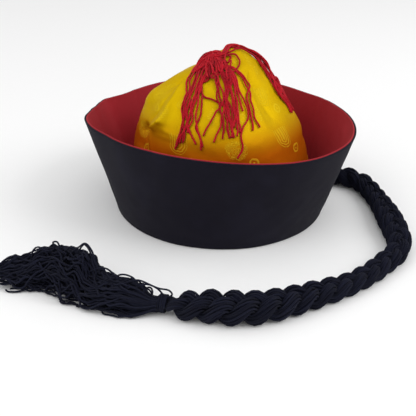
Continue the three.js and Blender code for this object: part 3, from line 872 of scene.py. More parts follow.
@dataclass(frozen=True)
class BrimForm:
    """The shape of the brim wall that the black cloth and the red lining share."""

    hem_half_width: float = 92.2 * MM
    hem_half_depth: float = 94.1 * MM
    roll_height: float = 2.8 * MM
    roll_spread: float = 1.8 * MM
    rim_half_width: float = 117.3 * MM
    rim_half_depth: float = 109.2 * MM
    rim_shift: Pair = (-1.5 * MM, -0.1 * MM)
    rim_height: float = 80.1 * MM
    columns: int = 340
    cloth_round: float = 0.66
    cloth_tuck: float = 1.5
    radius_waves: tuple[Wave, ...] = (Wave(2, -0.0024, -0.0446), Wave(3, -0.0105, -0.0027))
    height_waves: tuple[Wave, ...] = (
        Wave(2, -1.5 * MM, 2.1 * MM),
        Wave(3, 0.2 * MM, -1.0 * MM),
        Wave(4, 0.8 * MM, 0.3 * MM),
    )
    # Broad creases first, then fine ones
    creases: tuple[Crease, ...] = (
        Crease(141, 7, -1.6 * MM),
        Crease(158, 6, 1.4 * MM),
        Crease(176, 7, -1.2 * MM),
        Crease(212, 8, -1.3 * MM),
        Crease(318, 10, -1.0 * MM),
        Crease(42, 9, -1.2 * MM),
        Crease(96, 10, 0.9 * MM),
        Crease(155.6, 1.4, -0.4 * MM),
        Crease(149.0, 1.3, -0.4 * MM),
        Crease(163.5, 1.6, -0.5 * MM),
        Crease(168.0, 1.6, 0.5 * MM),
        Crease(134.0, 1.4, 0.6 * MM),
        Crease(112.0, 2.2, -0.5 * MM),
        Crease(60.0, 2.0, 0.5 * MM),
        Crease(28.0, 1.8, -0.6 * MM),
        Crease(240.0, 3.0, -0.3 * MM),
        Crease(296.0, 3.0, 0.3 * MM),
    )
    kinks: tuple[Kink, ...] = (
        Kink(150.8, 9.0, 1.5 * MM),
        Kink(150.8, 3.0, 0.6 * MM),
        Kink(159.5, 6.0, -0.8 * MM),
        Kink(166.0, 14.0, -2.5 * MM),
        Kink(137.0, 13.0, -0.9 * MM),
        Kink(120.0, 14.0, 0.9 * MM),
        Kink(28.0, 12.0, 1.0 * MM),
    )
    kink_round: float = 0.6
    dents: tuple[Dents, ...] = (Dents(5, 0.055, 1.0), Dents(6, 0.018, 0.4))
    dent_depth: float = 0.3 * MM
    dent_ring: float = 0.1
    dent_rise: float = 0.8
    dent_low: float = 0.15

    def angles(self) -> Array:
        """The columns' angles in radians."""
        return TURN * np.arange(self.columns) / self.columns

    def waves(self, table: tuple[Wave, ...], angle: Array) -> Array:
        """The sum of a table of waves at angles."""
        return sum(w.cosine * np.cos(w.times * angle) + w.sine * np.sin(w.times * angle) for w in table)

    def crease_step(self, angle: Array, share: float) -> Array:
        """How far the creases and small dents move the wall out.

        Args:
            angle: Angles in radians.
            share: The share of the wall's height.

        Returns:
            The step outward at each angle, in metres.
        """
        degrees = np.degrees(angle)
        step = np.zeros_like(angle)
        for crease in self.creases:
            step += crease.depth * bump(turn_between(crease.angle, degrees) / crease.half_angle)
        for kink in self.kinks:
            away = np.hypot(turn_between(kink.angle, degrees), self.kink_round)
            step += kink.depth * np.maximum(0.0, 1.0 - away / kink.reach)
        level = np.full_like(angle, self.dent_rise * share)
        ring = self.dent_ring * np.stack([np.cos(angle), np.sin(angle), level], -1)
        dents = sum(dents.at(ring) for dents in self.dents)
        fade = math.sin(math.pi * min(1.0, self.dent_low + (1.0 - self.dent_low) * share))
        return step * share + self.dent_depth * dents * fade

    def rim(self, angle: Array) -> Array:
        """The rim line, on the outside of the black cloth."""
        reach = 1.0 + self.waves(self.radius_waves, angle)
        x = self.rim_half_width * reach * np.cos(angle) + self.rim_shift[0]
        y = self.rim_half_depth * reach * np.sin(angle) + self.rim_shift[1]
        return np.stack([x, y, self.rim_height + self.waves(self.height_waves, angle)], -1)

    def point(self, angle: Array, share: float, inset: float, rise: float = 0.0) -> Array:
        """Points of the wall.

        Args:
            angle: Angles in radians.
            share: 0 just above the hem and 1 at the rim; below 0 the wall rolls in to the floor.
            inset: The distance in plan from the outside of the black cloth, inward.
            rise: The distance that the points are raised by.

        Returns:
            One point for each angle.
        """
        outline = np.stack([np.cos(angle), np.sin(angle)], -1)
        half = np.array([self.hem_half_width, self.hem_half_depth])
        if share < 0:
            round_off = 1.0 - math.sqrt(max(0.0, 1.0 - share * share))
            spread = self.roll_spread * (1.0 - round_off * self.cloth_round * self.cloth_tuck)
            low = outline * (half + spread)
            points = np.column_stack([low, np.full(len(angle), self.roll_height * (1.0 + share))])
        else:
            level = np.full(len(angle), self.roll_height)
            low = np.column_stack([outline * (half + self.roll_spread), level])
            points = low + (self.rim(angle) - low) * share
        plan = np.hypot(points[:, 0], points[:, 1])
        scale = (plan - inset + self.crease_step(angle, max(share, 0.0))) / plan
        return np.column_stack([points[:, :2] * scale[:, None], points[:, 2] + rise])


@dataclass(frozen=True)
class SewnWall:
    """One cloth of the brim: a shell from the hem to the rim."""

    form: BrimForm
    inset: float
    wall: float
    lip_out: float
    lip_rise: float
    wall_rows: int = 34
    hem_rows: int = 5
    lip_rows: int = 8

    def rows(self) -> list[Point]:
        """The wall's section as shares, insets and rises, up the outside and down the inside."""
        outside, inside = self.inset, self.inset + self.wall
        hem = [(-1.0 + step / self.hem_rows, outside, 0.0) for step in range(self.hem_rows)]
        up = [(step / self.wall_rows, outside, 0.0) for step in range(self.wall_rows)]
        lip = []
        for step in range(self.lip_rows + 1):
            turn = math.pi * step / self.lip_rows
            middle = (outside - self.lip_out + inside) / 2.0
            half = (inside - outside + self.lip_out) / 2.0
            lip.append((1.0, middle - half * math.cos(turn), self.lip_rise * math.sin(turn)))
        if self.lip_out > 0:
            lip.insert(0, (1.0, outside, 0.0))
        down = [(share, inside, 0.0) for share, _, _ in reversed(hem + up)]
        return hem + up + lip + down

    def surface(self) -> Surface:
        """Makes the closed shell, with places on the cloth in metres."""
        angles = self.form.angles()
        grid = np.stack([self.form.point(angles, *row) for row in self.rows()])
        middle = grid[:, 0]
        along = travel(np.vstack([middle, middle[:1]]))
        across = np.linspace(0.0, TURN * self.form.rim_half_width, self.form.columns + 1)
        rows, columns = grid.shape[:2]
        faces, cloth = band_faces(rows, columns, rows, across, along)
        tone = np.zeros(rows * columns)
        return Surface(grid.reshape(-1, 3), faces.tolist(), cloth.reshape(-1, 2), tone)


@dataclass(frozen=True)
class Brim:
    """The turned-up brim: black cloth outside, red lining inside."""

    form: BrimForm
    cloth_wall: float = 1.5 * MM
    lining_wall: float = 1.2 * MM
    gap: float = 0.3 * MM
    lining_lip_out: float = 0.25 * MM
    lining_lip_rise: float = 0.95 * MM
    lip_rise: float = 0.55 * MM

    def build(self) -> list[Object]:
        """Builds and dresses both cloths.

        Returns:
            The outer cloth and the lining.
        """
        outer = SewnWall(self.form, 0.0, self.cloth_wall, 0.0, self.lip_rise)
        inset = self.cloth_wall + self.gap
        lining = SewnWall(
            self.form, inset, self.lining_wall, self.lining_lip_out, self.lining_lip_rise
        )
        return [
            hand_in(outer.surface(), "brim_cloth", BLACK_CLOTH, "brim_outer"),
            hand_in(lining.surface(), "brim_lining_cloth", RED_LINING, "brim_lining"),
        ]


@dataclass(frozen=True)
class Fold:
    """A broad fold of the crown between two heights: a ridge if positive, a valley if negative."""

    low: float
    low_angle: float
    high: float
    high_angle: float
    half_angle: float
    depth: float


@dataclass(frozen=True)
class SharpFold:
    """A sharp crease of the crown along angle and height points, with its half width and depth."""

    line: tuple[Pair, ...]
    width: float
    depth: float


@dataclass(frozen=True)
class CrownForm:
    """The crown's shape: sections from the hem to the peak, broad folds and sharp creases."""

    # Height, then the section's reach to the left, right, front and back of the axis, in mm
    sections: tuple[tuple[float, ...], ...] = (
        (0, 89.4, 89.4, 91.3, 91.3),
        (4, 88.0, 87.9, 89.9, 89.9),
        (20, 85.5, 84.5, 87, 87),
        (52, 77.5, 76, 79, 79),
        (70, 74, 70, 73, 74),
        (78, 72, 66.4, 70, 71.5),
        (85, 70, 62.3, 66, 68),
        (94, 66, 55.6, 59.5, 62),
        (103, 60, 48, 52, 54),
        (109, 51, 43, 46, 48),
        (116, 40.5, 37.5, 37, 40),
        (123, 27.5, 32.5, 28, 31),
        (130, 15.5, 27, 19, 22),
        (137, 4, 20, 9, 11),
        (139.6, -7, 15, 3.5, 4.5),
        (140.2, -10.6, 11.4, 0.2, 0.7),
    )
    folds: tuple[Fold, ...] = (
        Fold(84, 219, 127, 224, 8, 1.2),
        Fold(88, 204, 120, 203, 12, -3.4),
        Fold(62, 205, 83, 207, 8, -2.6),
        Fold(60, 236, 80, 228, 18, -2.0),
        Fold(84, 236, 102, 240, 9, -1.5),
        Fold(66, 282, 92, 286, 8, 1.8),
        Fold(100, 282, 116, 252, 11, -2.0),
        Fold(78, 322, 124, 312, 12, -2.6),
        Fold(70, 352, 118, 348, 12, 2.0),
        Fold(66, 24, 126, 36, 11, -3.0),
        Fold(60, 68, 122, 72, 12, 2.4),
        Fold(72, 104, 128, 98, 10, -3.2),
        Fold(60, 150, 98, 148, 13, 1.6),
        Fold(96, 150, 140, 152, 28, -5.0),
        Fold(74, 178, 112, 172, 10, -2.4),
        Fold(92, 189, 124, 186, 15, 2.6),
        Fold(98, 2, 134, 8, 13, 2.6),
        Fold(112, 198, 134, 192, 22, -1.6),
    )
    sharp: tuple[SharpFold, ...] = (
        SharpFold(((215, 121), (220, 116), (225, 111), (228.5, 105), (228.5, 98.5), (226, 92)), 3.5, 5.0),
        SharpFold(((226, 92), (222, 88.5), (218, 85)), 3.2, 4.6),
        SharpFold(((207, 118), (213, 111), (218, 105.5), (219, 100), (216, 94), (212, 88.5)), 3.2, -2.9),
        SharpFold(((207, 114), (203.5, 111)), 2.4, -3.4),
        SharpFold(((203, 75.5), (206.5, 80)), 2.6, -4.8),
        SharpFold(((212, 80.7), (227.8, 81.6), (236.8, 81.6), (243, 81)), 3.4, -1.0),
        SharpFold(((219, 88), (227, 86), (236, 83)), 3.0, 0.7),
        SharpFold(((285.6, 92), (284, 80), (281, 62)), 1.1, 0.9),
        SharpFold(((286.8, 91), (285.2, 80), (282.2, 62)), 1.0, -0.5),
        SharpFold(((250, 113), (262, 106), (276, 102), (288, 101)), 2.4, -1.2),
        SharpFold(((256, 118), (268, 112), (280, 110)), 2.4, 0.9),
        SharpFold(((262, 96), (272, 90), (284, 92)), 2.6, -1.1),
        SharpFold(((312, 122), (318, 108), (320, 92)), 2.4, -1.3),
        SharpFold(((306, 120), (310, 106), (309, 92)), 2.6, 0.9),
        SharpFold(((345, 118), (350, 102), (350, 86)), 2.4, 1.0),
        SharpFold(((30, 126), (27, 104), (22, 76)), 2.6, -1.3),
        SharpFold(((72, 124), (70, 100), (66, 72)), 2.4, 1.1),
        SharpFold(((98, 127), (101, 104), (105, 76)), 2.6, -1.5),
        SharpFold(((146, 120), (149, 98), (151, 74)), 2.4, 1.0),
        SharpFold(((176, 116), (178, 96), (180, 78)), 2.6, -1.2),
        SharpFold(((207, 76), (212, 70), (216, 62)), 2.0, -0.9),
        SharpFold(((212, 76), (217, 69), (221, 61)), 1.6, 0.9),
    )
    wall: float = 1.4
    columns: int = 264
    rows: int = 132
    fold_fade: float = 20.0
    least_share: float = 0.2
    fold_full: float = 0.6
    fold_falloff: float = 0.4
    sharp_fade: float = 3.2
    mean_radius: float = 60.0
    least_plan: float = 1e-3
    # The dents' depth is in mm
    dents: tuple[Dents, ...] = (Dents(21, 0.026, 0.35), Dents(22, 0.0075, 0.05))
    profile_steps: int = 1200
    # How far apart the points are that a direction is taken from: degrees round, and a share up
    probe: Pair = (1.5, 0.008)
    seat_rounds: int = 3
    seat_heights: Pair = (1.0, 139.9)

    def profile(self, share: Array) -> Array:
        """The crown's section at shares of its profile.

        Args:
            share: Shares of the profile's length, from the hem at 0 to the peak at 1.

        Returns:
            Rows of height, left, right, front and back, in millimetres.
        """
        table = np.array(self.sections, float)
        middle = table[:, 1:].mean(axis=1)
        gaps = np.hypot(np.diff(table[:, 0]), np.diff(middle))
        places = np.concatenate([[0.0], np.cumsum(gaps)])
        at = np.asarray(share, float) * places[-1]
        return np.stack([smooth_table(places, column, at) for column in table.T], -1)

    def sections_at(self, share: Array) -> Array:
        """The height, left, right, front and back, each in the shape of the shares."""
        return np.moveaxis(self.profile(share.ravel()).reshape(*share.shape, 5), -1, 0)

    def share_at(self, height: Array) -> Array:
        """The profile's share at heights in millimetres."""
        fine = np.linspace(0.0, 1.0, self.profile_steps)
        return np.interp(height, self.profile(fine)[:, 0], fine)

    def fold_step(self, degrees: Array, height: Array) -> Array:
        """The outward step of the folds and creases at angles and heights, in millimetres."""
        step = np.zeros(np.broadcast(degrees, height).shape)
        for fold in self.folds:
            share = (height - fold.low) / (fold.high - fold.low)
            line = fold.low_angle + (fold.high_angle - fold.low_angle) * np.clip(share, 0.0, 1.0)
            across = bump(turn_between(line, degrees) / fold.half_angle)
            past = np.maximum(0.0, np.abs(share - 0.5) * 2.0 - self.fold_full)
            step = step + fold.depth * across * bump(past / self.fold_falloff)
        for fold in self.sharp:
            step = step + self.sharp_step(fold, degrees, height)
        return step

    def sharp_step(self, fold: SharpFold, degrees: Array, height: Array) -> Array:
        """The outward step of one sharp crease: a narrow crest that fades along its ends."""
        line = np.array(fold.line, float)
        degree = math.radians(1.0) * self.mean_radius
        nearest = np.full(np.broadcast(degrees, height).shape, FAR)
        for (angle, level), (next_angle, next_level) in zip(line[:-1], line[1:]):
            x = turn_between(angle, degrees) * degree
            y = height - level
            reach_x, reach_y = (next_angle - angle) * degree, next_level - level
            share = np.clip((x * reach_x + y * reach_y) / (reach_x**2 + reach_y**2), 0.0, 1.0)
            nearest = np.minimum(nearest, np.hypot(x - share * reach_x, y - share * reach_y))
        return fold.depth * np.exp(-nearest / fold.width) * bump(nearest / (self.sharp_fade * fold.width))

    def point(self, degrees: Array, share: Array) -> Array:
        """Points of the crown's outside, in metres, at angles in degrees and shares of the profile."""
        degrees, share = np.broadcast_arrays(np.asarray(degrees, float), np.asarray(share, float))
        height, left, right, front, back = self.sections_at(share)
        angle = np.radians(degrees)
        x = np.cos(angle) * (left + right) / 2.0
        y = np.sin(angle) * (front + back) / 2.0
        plan = np.maximum(np.hypot(x, y), self.least_plan)
        fade = np.minimum(1.0, plan / self.fold_fade)
        step = self.fold_step(degrees, height) * fade
        place = np.stack([x, y, height], -1) * MM
        for dents in self.dents:
            step = step + dents.at(place) * fade
        scale = np.maximum(self.least_share, (plan + step) / plan)
        x, y = (right - left) / 2.0 + x * scale, (back - front) / 2.0 + y * scale
        return np.stack([x, y, height], -1) * MM

    def normal(self, degrees: Array, share: Array) -> Array:
        """The crown's outward directions."""
        turn, rise = self.probe
        round_step = self.point(degrees + turn, share) - self.point(degrees - turn, share)
        up_step = self.point(degrees, np.minimum(share + rise, 1.0)) - self.point(degrees, share - rise)
        return unit(np.cross(round_step, up_step))

    def front_angle(self, across: Array, height: Array) -> Array:
        """The angles of places on the crown's front, so far across and so high, in millimetres."""
        _, left, right, _, _ = self.sections_at(self.share_at(height))
        reach = (across - (right - left) / 2.0) / ((left + right) / 2.0)
        return 360.0 - np.degrees(np.arccos(np.clip(reach, -1.0, 1.0)))

    def seat(self, points: Array, clearance: float) -> Array:
        """Moves points that are closer to the crown than a clearance out of it.

        Args:
            points: Points in metres.
            clearance: The least distance from the crown's surface.

        Returns:
            The points, moved along the crown's outward direction where they need it.
        """
        moved = points.copy()
        for _ in range(self.seat_rounds):
            share = self.share_at(np.clip(moved[..., 2] / MM, *self.seat_heights))
            _, left, right, front, back = self.sections_at(share)
            x = moved[..., 0] / MM - (right - left) / 2.0
            y = moved[..., 1] / MM - (back - front) / 2.0
            degrees = np.degrees(np.arctan2(y / ((front + back) / 2.0), x / ((left + right) / 2.0)))
            surface = self.point(degrees, share)
            outward = self.normal(degrees, share)
            depth = ((moved - surface) * outward).sum(-1)
            moved = moved + outward * np.maximum(0.0, clearance - depth)[..., None]
        return moved


@dataclass(frozen=True)
class Crown:
    """The yellow brocade crown: a closed shell, open below for the head."""

    form: CrownForm

    def surface(self) -> Surface:
        """Makes the shell from an outer and an inner skin that meet at the hem."""
        form = self.form
        degrees = 360.0 * np.arange(form.columns) / form.columns
        share = np.linspace(0.0, 1.0, form.rows)
        grid_degrees, grid_share = np.meshgrid(degrees, share)
        outer = form.point(grid_degrees, grid_share)
        outer[-1] = outer[-1].mean(axis=0)
        slope = unit(np.cross(np.roll(outer, -1, 1) - np.roll(outer, 1, 1), np.gradient(outer, axis=0)))
        slope[-1] = UP
        slope[0, :, 2] = 0.0
        inner = outer - slope * form.wall * MM
        inner[0, :, 2] = 0.0
        across = np.linspace(0.0, TURN * form.mean_radius * MM, form.columns + 1)
        outside = self.dome(outer, across, False)
        inside = self.dome(inner, across, True)
        shell = outside.joined(inside)
        foot = np.arange(form.columns)
        other = foot + len(outside.points)
        rim = np.stack([other, np.roll(other, -1), np.roll(foot, -1), foot], -1)
        cloth = np.vstack([shell.cloth, np.zeros((rim.size, 2))])
        return Surface(shell.points, shell.faces + rim.tolist(), cloth, shell.tone)

    def dome(self, grid: Array, across: Array, flipped: bool) -> Surface:
        """One skin of the crown, closed at the peak by a fan.

        Args:
            grid: Points by row and column, the last row all at the peak.
            across: The cloth's place of each column and of the first again.
            flipped: True for the inside, whose faces point in.

        Returns:
            The skin.
        """
        rows, columns = grid.shape[0] - 1, grid.shape[1]
        peak = rows * columns
        points = np.vstack([grid[:-1].reshape(-1, 3), grid[-1, :1]])
        along = travel(grid[:, 0])
        quads, cloth = band_faces(rows, columns, rows - 1, across, along)
        last = (rows - 1) * columns
        fan = [[last + side, last + (side + 1) % columns, peak] for side in range(columns)]
        low, high = along[-2:]
        fan_cloth = np.array(
            [[[across[s], low], [across[s + 1], low], [across[s], high]] for s in range(columns)]
        )
        if flipped:
            quads, cloth = quads[:, ::-1], cloth[:, ::-1]
            fan = [face[::-1] for face in fan]
            fan_cloth = fan_cloth[:, ::-1]
        return Surface(
            points,
            quads.tolist() + fan,
            np.vstack([cloth.reshape(-1, 2), fan_cloth.reshape(-1, 2)]),
            np.zeros(len(points)),
        )

    def build(self) -> Object:
        """Builds and dresses the crown."""
        return hand_in(self.surface(), "crown_cloth", BrocadeFinish(), "crown")


@dataclass(frozen=True)
class Strand:
    """Yarns of the tassel that run together over the crown: how many, and how far they spread in mm.

    Each guide is an angle in degrees and a height in millimetres; the lifts are off the crown.
    """

    count: int
    spread: float
    guides: tuple[Pair, ...]
    lifts: tuple[float, ...] = ()


@dataclass(frozen=True)
class Tassel:
    """The red yarn hank knotted on the peak."""

    crown: CrownForm
    seed: int = 7
    knot: Point = (-5.0, -7.5, 134.6)
    knot_radii: Point = (6.5, 5.0, 2.8)
    knot_turns: int = 10
    yarn: float = 0.76 * MM
    steps: int = 72
    least_lift: float = 1.0
    start_scatter: float = 0.6
    waves: int = 3
    drift: float = 0.75
    drift_turns: float = 1.3
    drift_full: float = 0.3
    crimp: float = 0.24 * MM
    crimp_turns: float = 4.0
    heaped: float = 1.3
    settled: float = 0.6
    settle_from: float = 0.5
    shortest: float = 0.86
    curls: int = 15
    # Where the curls lie on the crown's front: across and up, in mm
    curl_low: Pair = (-12.0, 120.0)
    curl_high: Pair = (6.0, 132.5)
    curl_sizes: Pair = (1.5, 3.4)
    curl_width: Pair = (0.55, 0.9)
    curl_length: Pair = (1.0, 1.6)
    curl_turns: Pair = (0.6, 1.0)
    curl_lifts: Pair = (0.3, 2.6)
    curl_points: int = 9
    curl_top: float = 138.0
    knot_arc: float = 0.92
    knot_flat: float = 0.7
    knot_tilt: float = 0.45
    knot_sizes: Pair = (0.7, 1.0)
    knot_waver: float = 0.08
    strands: tuple[Strand, ...] = (
        Strand(1, 0.6, (
            (198, 128), (212, 123), (221, 119), (234, 112), (238, 107), (242, 101), (244, 96),
            (244, 90), (243, 84), (240, 73),
        ), (2.2, 0, 0, 0, 0, 0, 0, 0, 0, 0)),
        Strand(1, 0.6, (
            (190, 127), (218, 123), (227, 118), (237, 113), (241, 106), (244, 101), (245, 93),
            (244, 86), (241, 75),
        )),
        Strand(2, 1.5, (
            (207, 128), (227, 122), (236, 116), (242, 110), (245, 105), (246, 98), (247, 91), (248, 86),
            (247, 80),
        )),
        Strand(2, 1.5, (
            (215, 129), (232, 122), (240, 116), (245, 110), (247, 106), (247, 101), (248, 93),
            (250, 87), (254, 79),
        )),
        Strand(2, 1.6, (
            (222, 130), (240, 121), (246, 115), (248, 111), (250, 106), (251, 101), (251, 96),
            (249, 89), (247, 79),
        )),
        Strand(2, 1.5, (
            (232, 128), (244, 120), (246, 115), (248, 110), (251, 104), (250, 98), (248, 90), (244, 83),
            (242, 76),
        )),
        Strand(1, 0.4, (
            (232, 127), (244, 117), (249, 111), (254, 106), (255, 99), (256, 92), (258, 86), (259, 76),
        )),
        Strand(1, 0.4, (
            (237, 126), (245, 117), (249, 113), (256, 107), (259, 102), (258, 96), (256, 92), (258, 85),
            (259, 78),
        )),
        Strand(1, 0.3, (
            (247, 122), (248, 120), (244, 118), (248, 114), (256, 110), (263, 109), (272, 107),
            (278, 105), (282, 102),
        )),
        Strand(2, 1.1, (
            (243, 127), (259, 121), (266, 116), (270, 111), (274, 107), (274, 102), (276, 98),
            (276, 94), (274, 84),
        )),
        Strand(1, 0.4, (
            (248, 128), (263, 121), (268, 118), (274, 114), (276, 109), (275, 104), (271, 101),
            (267, 96), (262, 90), (260, 86),
        )),
        Strand(1, 0.4, (
            (249, 129), (266, 123), (277, 116), (276, 110), (278, 104), (275, 98), (274, 93), (270, 87),
            (267, 82),
        )),
        Strand(2, 1.3, (
            (252, 129), (267, 123), (276, 116), (277, 109), (280, 102), (280, 98), (280, 93), (279, 85),
        )),
        Strand(3, 1.4, (
            (253, 130), (272, 123), (279, 116), (280, 109), (284, 103), (282, 97), (281, 91), (280, 85),
        )),
        Strand(3, 1.4, (
            (256, 130), (277, 123), (282, 116), (284, 109), (286, 102), (284, 97), (283, 92), (283, 86),
        )),
        Strand(2, 1.2, (
            (261, 129), (280, 123), (287, 117), (288, 111), (290, 104), (287, 97), (286, 92), (284, 86),
        )),
        Strand(1, 0.4, ((266, 128), (282, 123), (290, 114), (292, 108), (294, 101))),
        Strand(1, 0.2, (
            (269, 128), (285, 123), (292, 114), (296, 108), (298, 102), (296, 96), (294, 94), (290, 91),
            (286, 86), (285, 78), (281, 71),
        )),
        Strand(1, 0.2, (
            (270, 129), (285, 127), (294, 124), (303, 120), (308, 116), (304, 113), (300, 108),
            (300, 102), (299, 96), (296, 88),
        )),
        Strand(1, 0.2, (
            (268, 129), (282, 128), (288, 125), (300, 119), (304, 115), (305, 110), (304, 104),
            (303, 100), (302, 94), (302, 89),
        )),
        Strand(1, 0.2, (
            (245, 134), (261, 136), (283, 136), (293, 132), (289, 129), (280, 126), (268, 128),
        )),
        Strand(1, 0.3, (
            (238, 133), (242, 136), (261, 136), (269, 134), (264, 132), (251, 133), (248, 131),
        )),
        Strand(1, 0.3, (
            (252, 128), (262, 128), (266, 129), (275, 127), (272, 125), (263, 126), (253, 129),
        )),
        Strand(1, 0.3, (
            (210, 125), (192, 126.5), (188, 130), (190, 132), (194, 134), (205, 136), (218, 137),
            (232, 134),
        ), (0, 1.6, 3.6, 3.6, 2.4, 0.9, 0, 0)),
        Strand(3, 0.9, (
            (212, 124), (196, 127), (193, 130), (196, 132.5), (204, 135), (218, 136.5), (232, 133.5),
        ), (0, 1.0, 2.2, 2.4, 1.6, 0.6, 0)),
        Strand(3, 0.9, (
            (216, 123), (203, 126), (201, 129), (206, 132), (216, 134), (232, 133),
        ), (0, 0.6, 1.2, 1.6, 1.0, 0)),
        Strand(1, 0.3, (
            (240, 133.5), (244, 136.4), (239, 138.1), (174, 139.6), (291, 139.8), (35, 139.2),
            (13, 136.5), (8, 133.4), (8, 129.4), (6, 125), (6, 118.4), (6, 114.5), (2, 109.2),
            (0, 103.7), (358, 97.9), (354, 92), (350, 88.9),
        ), (0, 0, 0, 0, 0, 0.8, 1.2, 2.9, 3.7, 3.6, 2.4, 2, 1.2, 0.6, 0.3, 0, 0)),
        Strand(1, 0.3, (
            (236, 134.9), (244, 136.4), (263, 137.8), (279, 139), (326, 138.7), (347, 136), (1, 130.8),
            (356, 127.7), (355, 122.4), (351, 117.5), (345, 112.9), (344, 107.6), (343, 103.2),
        )),
        Strand(3, 0.9, (
            (238, 136), (150, 139), (62, 138.4), (28, 134.5), (12, 130), (0, 125.9), (359, 119.9),
            (352, 115.1), (4, 111.3), (1, 105.6), (350, 101.8), (349, 94.1), (348, 88.9),
        ), (0, 0, 0, 0, 0, 0, 0, 0, 1.9, 0.1, 0, 0, 0)),
        Strand(4, 0.9, (
            (240, 136), (145, 139.2), (55, 138.6), (26, 134), (12, 129), (7, 123.7), (359, 118.6),
            (354, 112.9), (350, 106.9), (346, 103.9), (349, 97.2), (345, 89.1),
        ), (0, 0, 0, 0, 0.4, 0.2, 0, 0.3, 0.2, 0, 0, 0)),
        Strand(4, 0.9, (
            (242, 136), (140, 139.4), (48, 139), (24, 136), (8, 131.4), (7, 125.6), (7, 118.3),
            (352, 112.2), (345, 109), (345, 103.1), (347, 95.2), (346, 88.4),
        ), (0, 0, 0, 0.6, 2, 2.9, 1.7, 0, 0, 0, 0, 0)),
    )

    def strand_lines(self, strand: Strand, rng: Random) -> Array:
        """The yarns of one strand, from the knot over the crown.

        Args:
            strand: The strand.
            rng: The random generator.

        Returns:
            Points by yarn and step, in metres.
        """
        guides = np.array(strand.guides, float)
        lifts = np.array(strand.lifts or (0.0,) * len(guides)) + self.least_lift
        share = self.crown.share_at(guides[:, 1])
        normals = self.crown.normal(guides[:, 0], share)
        core = self.crown.point(guides[:, 0], share) + normals * lifts[:, None] * MM
        scatter = rng.uniform(-self.start_scatter, self.start_scatter, 3) * np.array(self.knot_radii)
        start = (np.array(self.knot) + scatter) * MM
        core = smooth_curve(np.vstack([start, core]), self.steps)
        facing = unit(smooth_curve(np.vstack([UP, normals]), self.steps))
        sideways = unit(np.cross(facing, np.gradient(core, axis=0)))
        along = np.linspace(0.0, 1.0, self.steps)
        seats = np.arange(strand.count) - (strand.count - 1) / 2.0
        drift = Wander(rng, strand.count, self.waves).along(along, self.drift_turns)
        loose = self.drift * drift * smoothstep(along, 0.0, self.drift_full)
        shift = (seats[:, None] + loose) * strand.spread * MM
        crimps = Wander(rng, strand.count, self.waves).along(along, self.crimp_turns) * self.crimp
        settled = 1.0 - self.settled * smoothstep(along, self.settle_from, 1.0)
        lifted = rng.uniform(0.0, self.heaped, strand.count)[:, None] * settled * MM
        lines = core + sideways * (shift + crimps)[..., None] + facing * lifted[..., None]
        ends = rng.uniform(self.shortest, 1.0, strand.count)
        ends[0] = 1.0
        places = along * (self.steps - 1)
        return np.stack([between(line, places * end) for line, end in zip(lines, ends)])

    def curl_lines(self, rng: Random) -> Array:
        """Short curls of yarn that lie over each other below the knot."""
        lines = []
        for _ in range(self.curls):
            middle = rng.uniform(self.curl_low, self.curl_high)
            size = rng.uniform(*self.curl_sizes)
            width, length = size * rng.uniform(*self.curl_width), size * rng.uniform(*self.curl_length)
            first = rng.uniform(0.0, TURN)
            turn = first + np.linspace(0.0, TURN * rng.uniform(*self.curl_turns), self.curl_points)
            across = middle[0] + width * np.cos(turn)
            height = np.minimum(middle[1] + length * np.sin(turn), self.curl_top)
            degrees = self.crown.front_angle(across, height)
            share = self.crown.share_at(height)
            lift = self.least_lift + rng.uniform(*self.curl_lifts)
            points = self.crown.point(degrees, share) + self.crown.normal(degrees, share) * lift * MM
            lines.append(smooth_curve(points, self.steps))
        return np.array(lines)

    def knot_lines(self, rng: Random) -> Array:
        """Yarn turns laid round the knot in many directions."""
        radii = np.array(self.knot_radii) * MM
        along = np.linspace(0.0, TURN * self.knot_arc, self.steps)
        lines = []
        for _ in range(self.knot_turns):
            pole = unit(rng.normal(size=3) * np.array([1.0, 1.0, self.knot_flat]))
            first = unit(np.cross(pole, rng.normal(size=3)))
            second = np.cross(pole, first)
            ring = np.cos(along)[:, None] * first + np.sin(along)[:, None] * second
            tilt = pole * rng.uniform(-self.knot_tilt, self.knot_tilt)
            size = rng.uniform(*self.knot_sizes)
            size = size + self.knot_waver * np.sin(3 * along + rng.uniform(0, TURN))
            turned = unit(ring + tilt) * size[:, None] * (radii - self.yarn)
            lines.append(np.array(self.knot) * MM + turned)
        return np.array(lines)

    def build(self) -> Object:
        """Builds and dresses the tassel, all its yarns in one piece."""
        rng = np.random.default_rng(self.seed)
        lines = [self.strand_lines(strand, rng) for strand in self.strands]
        lines.append(self.curl_lines(rng))
        over_crown = self.crown.seat(np.concatenate(lines), self.yarn)
        every = np.concatenate([over_crown, self.knot_lines(rng)])
        surface = yarns(every, self.yarn, yarn_tones(rng, len(every)))
        return hand_in(surface, "tassel_yarns", RED_YARN, "tassel")


